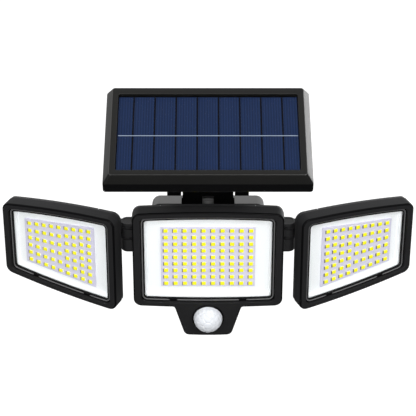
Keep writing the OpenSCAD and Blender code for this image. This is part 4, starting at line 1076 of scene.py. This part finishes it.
class LIGHT_OT_screws(bpy.types.Operator):
    """Makes the pan-head screws at the back of the base, under the panel and behind the heads"""

    bl_idname = "light.screws"
    bl_label = "Screws"

    def execute(self, context):
        corners = np.array([[x, z] for x in (-1, 1) for z in (-1, 1)])
        base = np.insert(corners * BASE_SPOTS, 1, BASE_SEAT, axis=1)
        panel = np.insert(corners * PANEL_SPOTS, 2, PANEL_SEAT, axis=1)
        foot = np.insert(corners * FOOT_SPOTS + [0, FOOT_BACK], 2, FOOT_SEAT, axis=1)
        jobs = [("base", "base", BODY_SCREW, FACING_BACK, base, np.eye(4)),
                ("panel", "panel", BODY_SCREW, FACING_DOWN, panel, PANEL),
                ("bracket", "panel", BODY_SCREW, FACING_DOWN, foot, PANEL)]
        for head, (pane, frame) in HEADS.items():
            s = np.array(HEAD_SCREW_SHARES) * pane.length
            # the upper two from pane_top, and the lower two mirrored
            z = pane_top(pane, s, HEAD_SCREW_M)[0] * [1, 1, -1, -1]
            jobs.append((head, f"{head}_head", HEAD_SCREW, FACING_BACK, np.c_[s, np.full(4, HEAD_SEAT), z], frame))
        for name, body, sizes, facing, spots, frame in jobs:
            shell = moved(screw_shell(*sizes), facing)
            make_piece(f"{name}_fixings", [moved(repeated(shell, spots), frame)], "steel", body,
                       [f"{name}_screws"])
        return {"FINISHED"}


# ---- studio


class StageSettings(bpy.types.PropertyGroup):
    """Camera, lamps and floor."""

    eye: FloatVectorProperty(name="Camera place", default=(0.0, -1.3415, 0.3333), subtype="TRANSLATION",
                             unit="LENGTH", description="Where the camera stands")
    aim: FloatVectorProperty(name="Camera direction", default=(0.0, 0.9742, -0.2258), subtype="DIRECTION",
                             description="Where the camera looks")
    lens: FloatProperty(name="Focal length", default=160.3, unit="CAMERA", description="Lens in millimetres")
    floor_drop: metres("Floor drop", 0.09, "How far the floor lies under the light")
    fill: FloatProperty(name="Surrounding light", default=0.9, description="Strength of the light from all round")
    low: FloatProperty(name="Gloss from below", default=0.12, description="What glossy faces show of the front")


# name, place, width and height in metres, and watts of each lamp, and the point that they face
LAMPS = (
    ("lamp_key", (0.5, -1.4, 0.7), 1.1, 1.1, 17),
    ("lamp_front", (-0.6, -1.4, 0.0), 1.1, 0.9, 13),
    ("lamp_side", (1.0, 1.1, 0.15), 0.5, 0.9, 8),
)
LAMP_AIM = (0, -0.03, 0.02)
# the floor's corners, in metres, and how strongly the camera sees it glow
FLOOR, FLOOR_GLOW = ((-4, -3), (4, -3), (4, 5), (-4, 5)), 0.93
WHITE = (1.0, 1.0, 1.0, 1.0)
# where the surroundings are brightest, and the dot products between which they go from dim to bright
SKY, SKY_RANGE = (0.0, 0.5, 0.866), (-0.4, 0.7)


def seen_rays(mat):
    """1 for the camera's own rays and those that come through clear material, 0 for all others; and the rays."""
    rays = add_node(mat, "ShaderNodeLightPath")
    seen = add_node(mat, "ShaderNodeMath", {"i0": rays.outputs["Is Camera Ray"],
                                            "i1": rays.outputs["Is Transmission Ray"]}, operation="MAXIMUM")
    return seen.outputs[0], rays


class LIGHT_OT_stage(bpy.types.Operator):
    """Makes the camera, the pale floor, the lamps and the surroundings"""

    bl_idname = "light.stage"
    bl_label = "Stage"

    def execute(self, context):
        s = context.scene.light_stage
        cam = new_object("camera", bpy.data.cameras.new("camera"))
        self.stand(cam, s.eye, s.aim)
        cam.data.lens, cam.data.sensor_width = s.lens, 36
        cam.data.clip_start, cam.data.clip_end = 0.05, 20
        context.scene.camera = cam
        self.floor(s)
        self.world(context, s)
        for name, place, w, h, watts in LAMPS:
            lamp = new_object(name, bpy.data.lights.new(name, "AREA"))
            lamp.data.shape, lamp.data.size, lamp.data.size_y, lamp.data.energy = "RECTANGLE", w, h, watts
            self.stand(lamp, place, Vector(LAMP_AIM) - Vector(place))
        context.scene.view_settings.view_transform = "Standard"
        return {"FINISHED"}

    def stand(self, obj, place, way):
        """Puts the camera or a lamp in its place, facing a way."""
        obj.location = place
        obj.rotation_euler = Vector(way).to_track_quat("-Z", "Y").to_euler()

    def floor(self, s):
        """Grey painted floor, so that little light comes back from below. The camera's own rays see it white, with
        the light's soft shadow on it."""
        z = CAD_BOX[0].z - s.floor_drop
        mesh = bpy.data.meshes.new("floor")
        mesh.from_pydata([(x, y, z) for x, y in FLOOR], [], [(0, 1, 2, 3)])
        floor = new_object("floor", mesh)
        mat = plain("floor_paint_grey", "#808080", 0.9, speck_mm=40, speck=0.002, specular=0.0)
        shader = next(n for n in mat.node_tree.nodes if n.type == "BSDF_PRINCIPLED")
        glow = add_node(mat, "ShaderNodeMapRange", {"value": seen_rays(mat)[0]}, to_min=0.0, to_max=FLOOR_GLOW)
        link(mat, glow.outputs[0], shader, "Emission Strength")
        shader.inputs["Emission Color"].default_value = WHITE
        # from below the floor can be looked through
        face, under = add_node(mat, "ShaderNodeNewGeometry"), add_node(mat, "ShaderNodeBsdfTransparent")
        mix = add_node(mat, "ShaderNodeMixShader", {"i0": face.outputs["Backfacing"], "i1": shader.outputs[0],
                                                    "i2": under.outputs[0]})
        link(mat, mix.outputs[0], next(n for n in mat.node_tree.nodes if n.type == "OUTPUT_MATERIAL"), 0)
        mesh.materials.append(mat)

    def world(self, context, s):
        """White to the camera, an even fill for matt faces, and for glossy ones bright above and behind and dim in
        front and below, by the dot product of the ray with SKY."""
        world = bpy.data.worlds.new("surroundings")
        world.use_nodes = True
        world.node_tree.nodes.clear()
        seen, rays = seen_rays(world)
        way = add_node(world, "ShaderNodeTexCoord").outputs["Generated"]
        lean = add_node(world, "ShaderNodeVectorMath", {"i0": way}, operation="DOT_PRODUCT", i1=SKY)
        level = add_node(world, "ShaderNodeMapRange", {"value": lean.outputs["Value"]}, from_min=SKY_RANGE[0],
                         from_max=SKY_RANGE[1], to_min=s.low, to_max=1.0)
        lit = add_node(world, "ShaderNodeMix", {"i0": rays.outputs["Is Glossy Ray"], "i3": level.outputs[0]},
                       data_type="FLOAT", i2=s.fill)
        strength = add_node(world, "ShaderNodeMix", {"i0": seen, "i2": lit.outputs[0]}, data_type="FLOAT", i3=1.0)
        back = add_node(world, "ShaderNodeBackground", {"strength": strength.outputs[0]}, i0=WHITE)
        link(world, back.outputs[0], add_node(world, "ShaderNodeOutputWorld"), 0)
        context.scene.world = world


class LIGHT_PT_panel(bpy.types.Panel):
    """Lists the operators that dress the light, in order"""

    bl_label = "Wall Light"
    bl_idname = "LIGHT_PT_panel"
    bl_space_type = "VIEW_3D"
    bl_region_type = "UI"
    bl_category = "Wall Light"

    def draw(self, context):
        for op in OPERATORS:
            self.layout.operator(op.bl_idname)


OPERATORS = (
    LIGHT_OT_finishes, LIGHT_OT_surround, LIGHT_OT_cells, LIGHT_OT_bezels, LIGHT_OT_leds, LIGHT_OT_sensor,
    LIGHT_OT_screws, LIGHT_OT_stage,
)
GROUPS = {
    "light_colours": LightColours, "light_panel": PanelSizes, "light_head": HeadSizes, "light_sensor": SensorSizes,
    "light_stage": StageSettings,
}
CLASSES = (*GROUPS.values(), *OPERATORS, LIGHT_PT_panel)


def register():
    """Registers the classes and gives the scene its groups of sizes and colours."""
    for cls in CLASSES:
        bpy.utils.register_class(cls)
    for name, group in GROUPS.items():
        setattr(bpy.types.Scene, name, PointerProperty(type=group))


def unregister():
    """Takes back what register did."""
    for name in GROUPS:
        delattr(bpy.types.Scene, name)
    for cls in reversed(CLASSES):
        bpy.utils.unregister_class(cls)


def main():
    register()
    for op in OPERATORS:
        group, step = op.bl_idname.split(".")
        getattr(getattr(bpy.ops, group), step)()


if __name__ == "__main__":
    main()
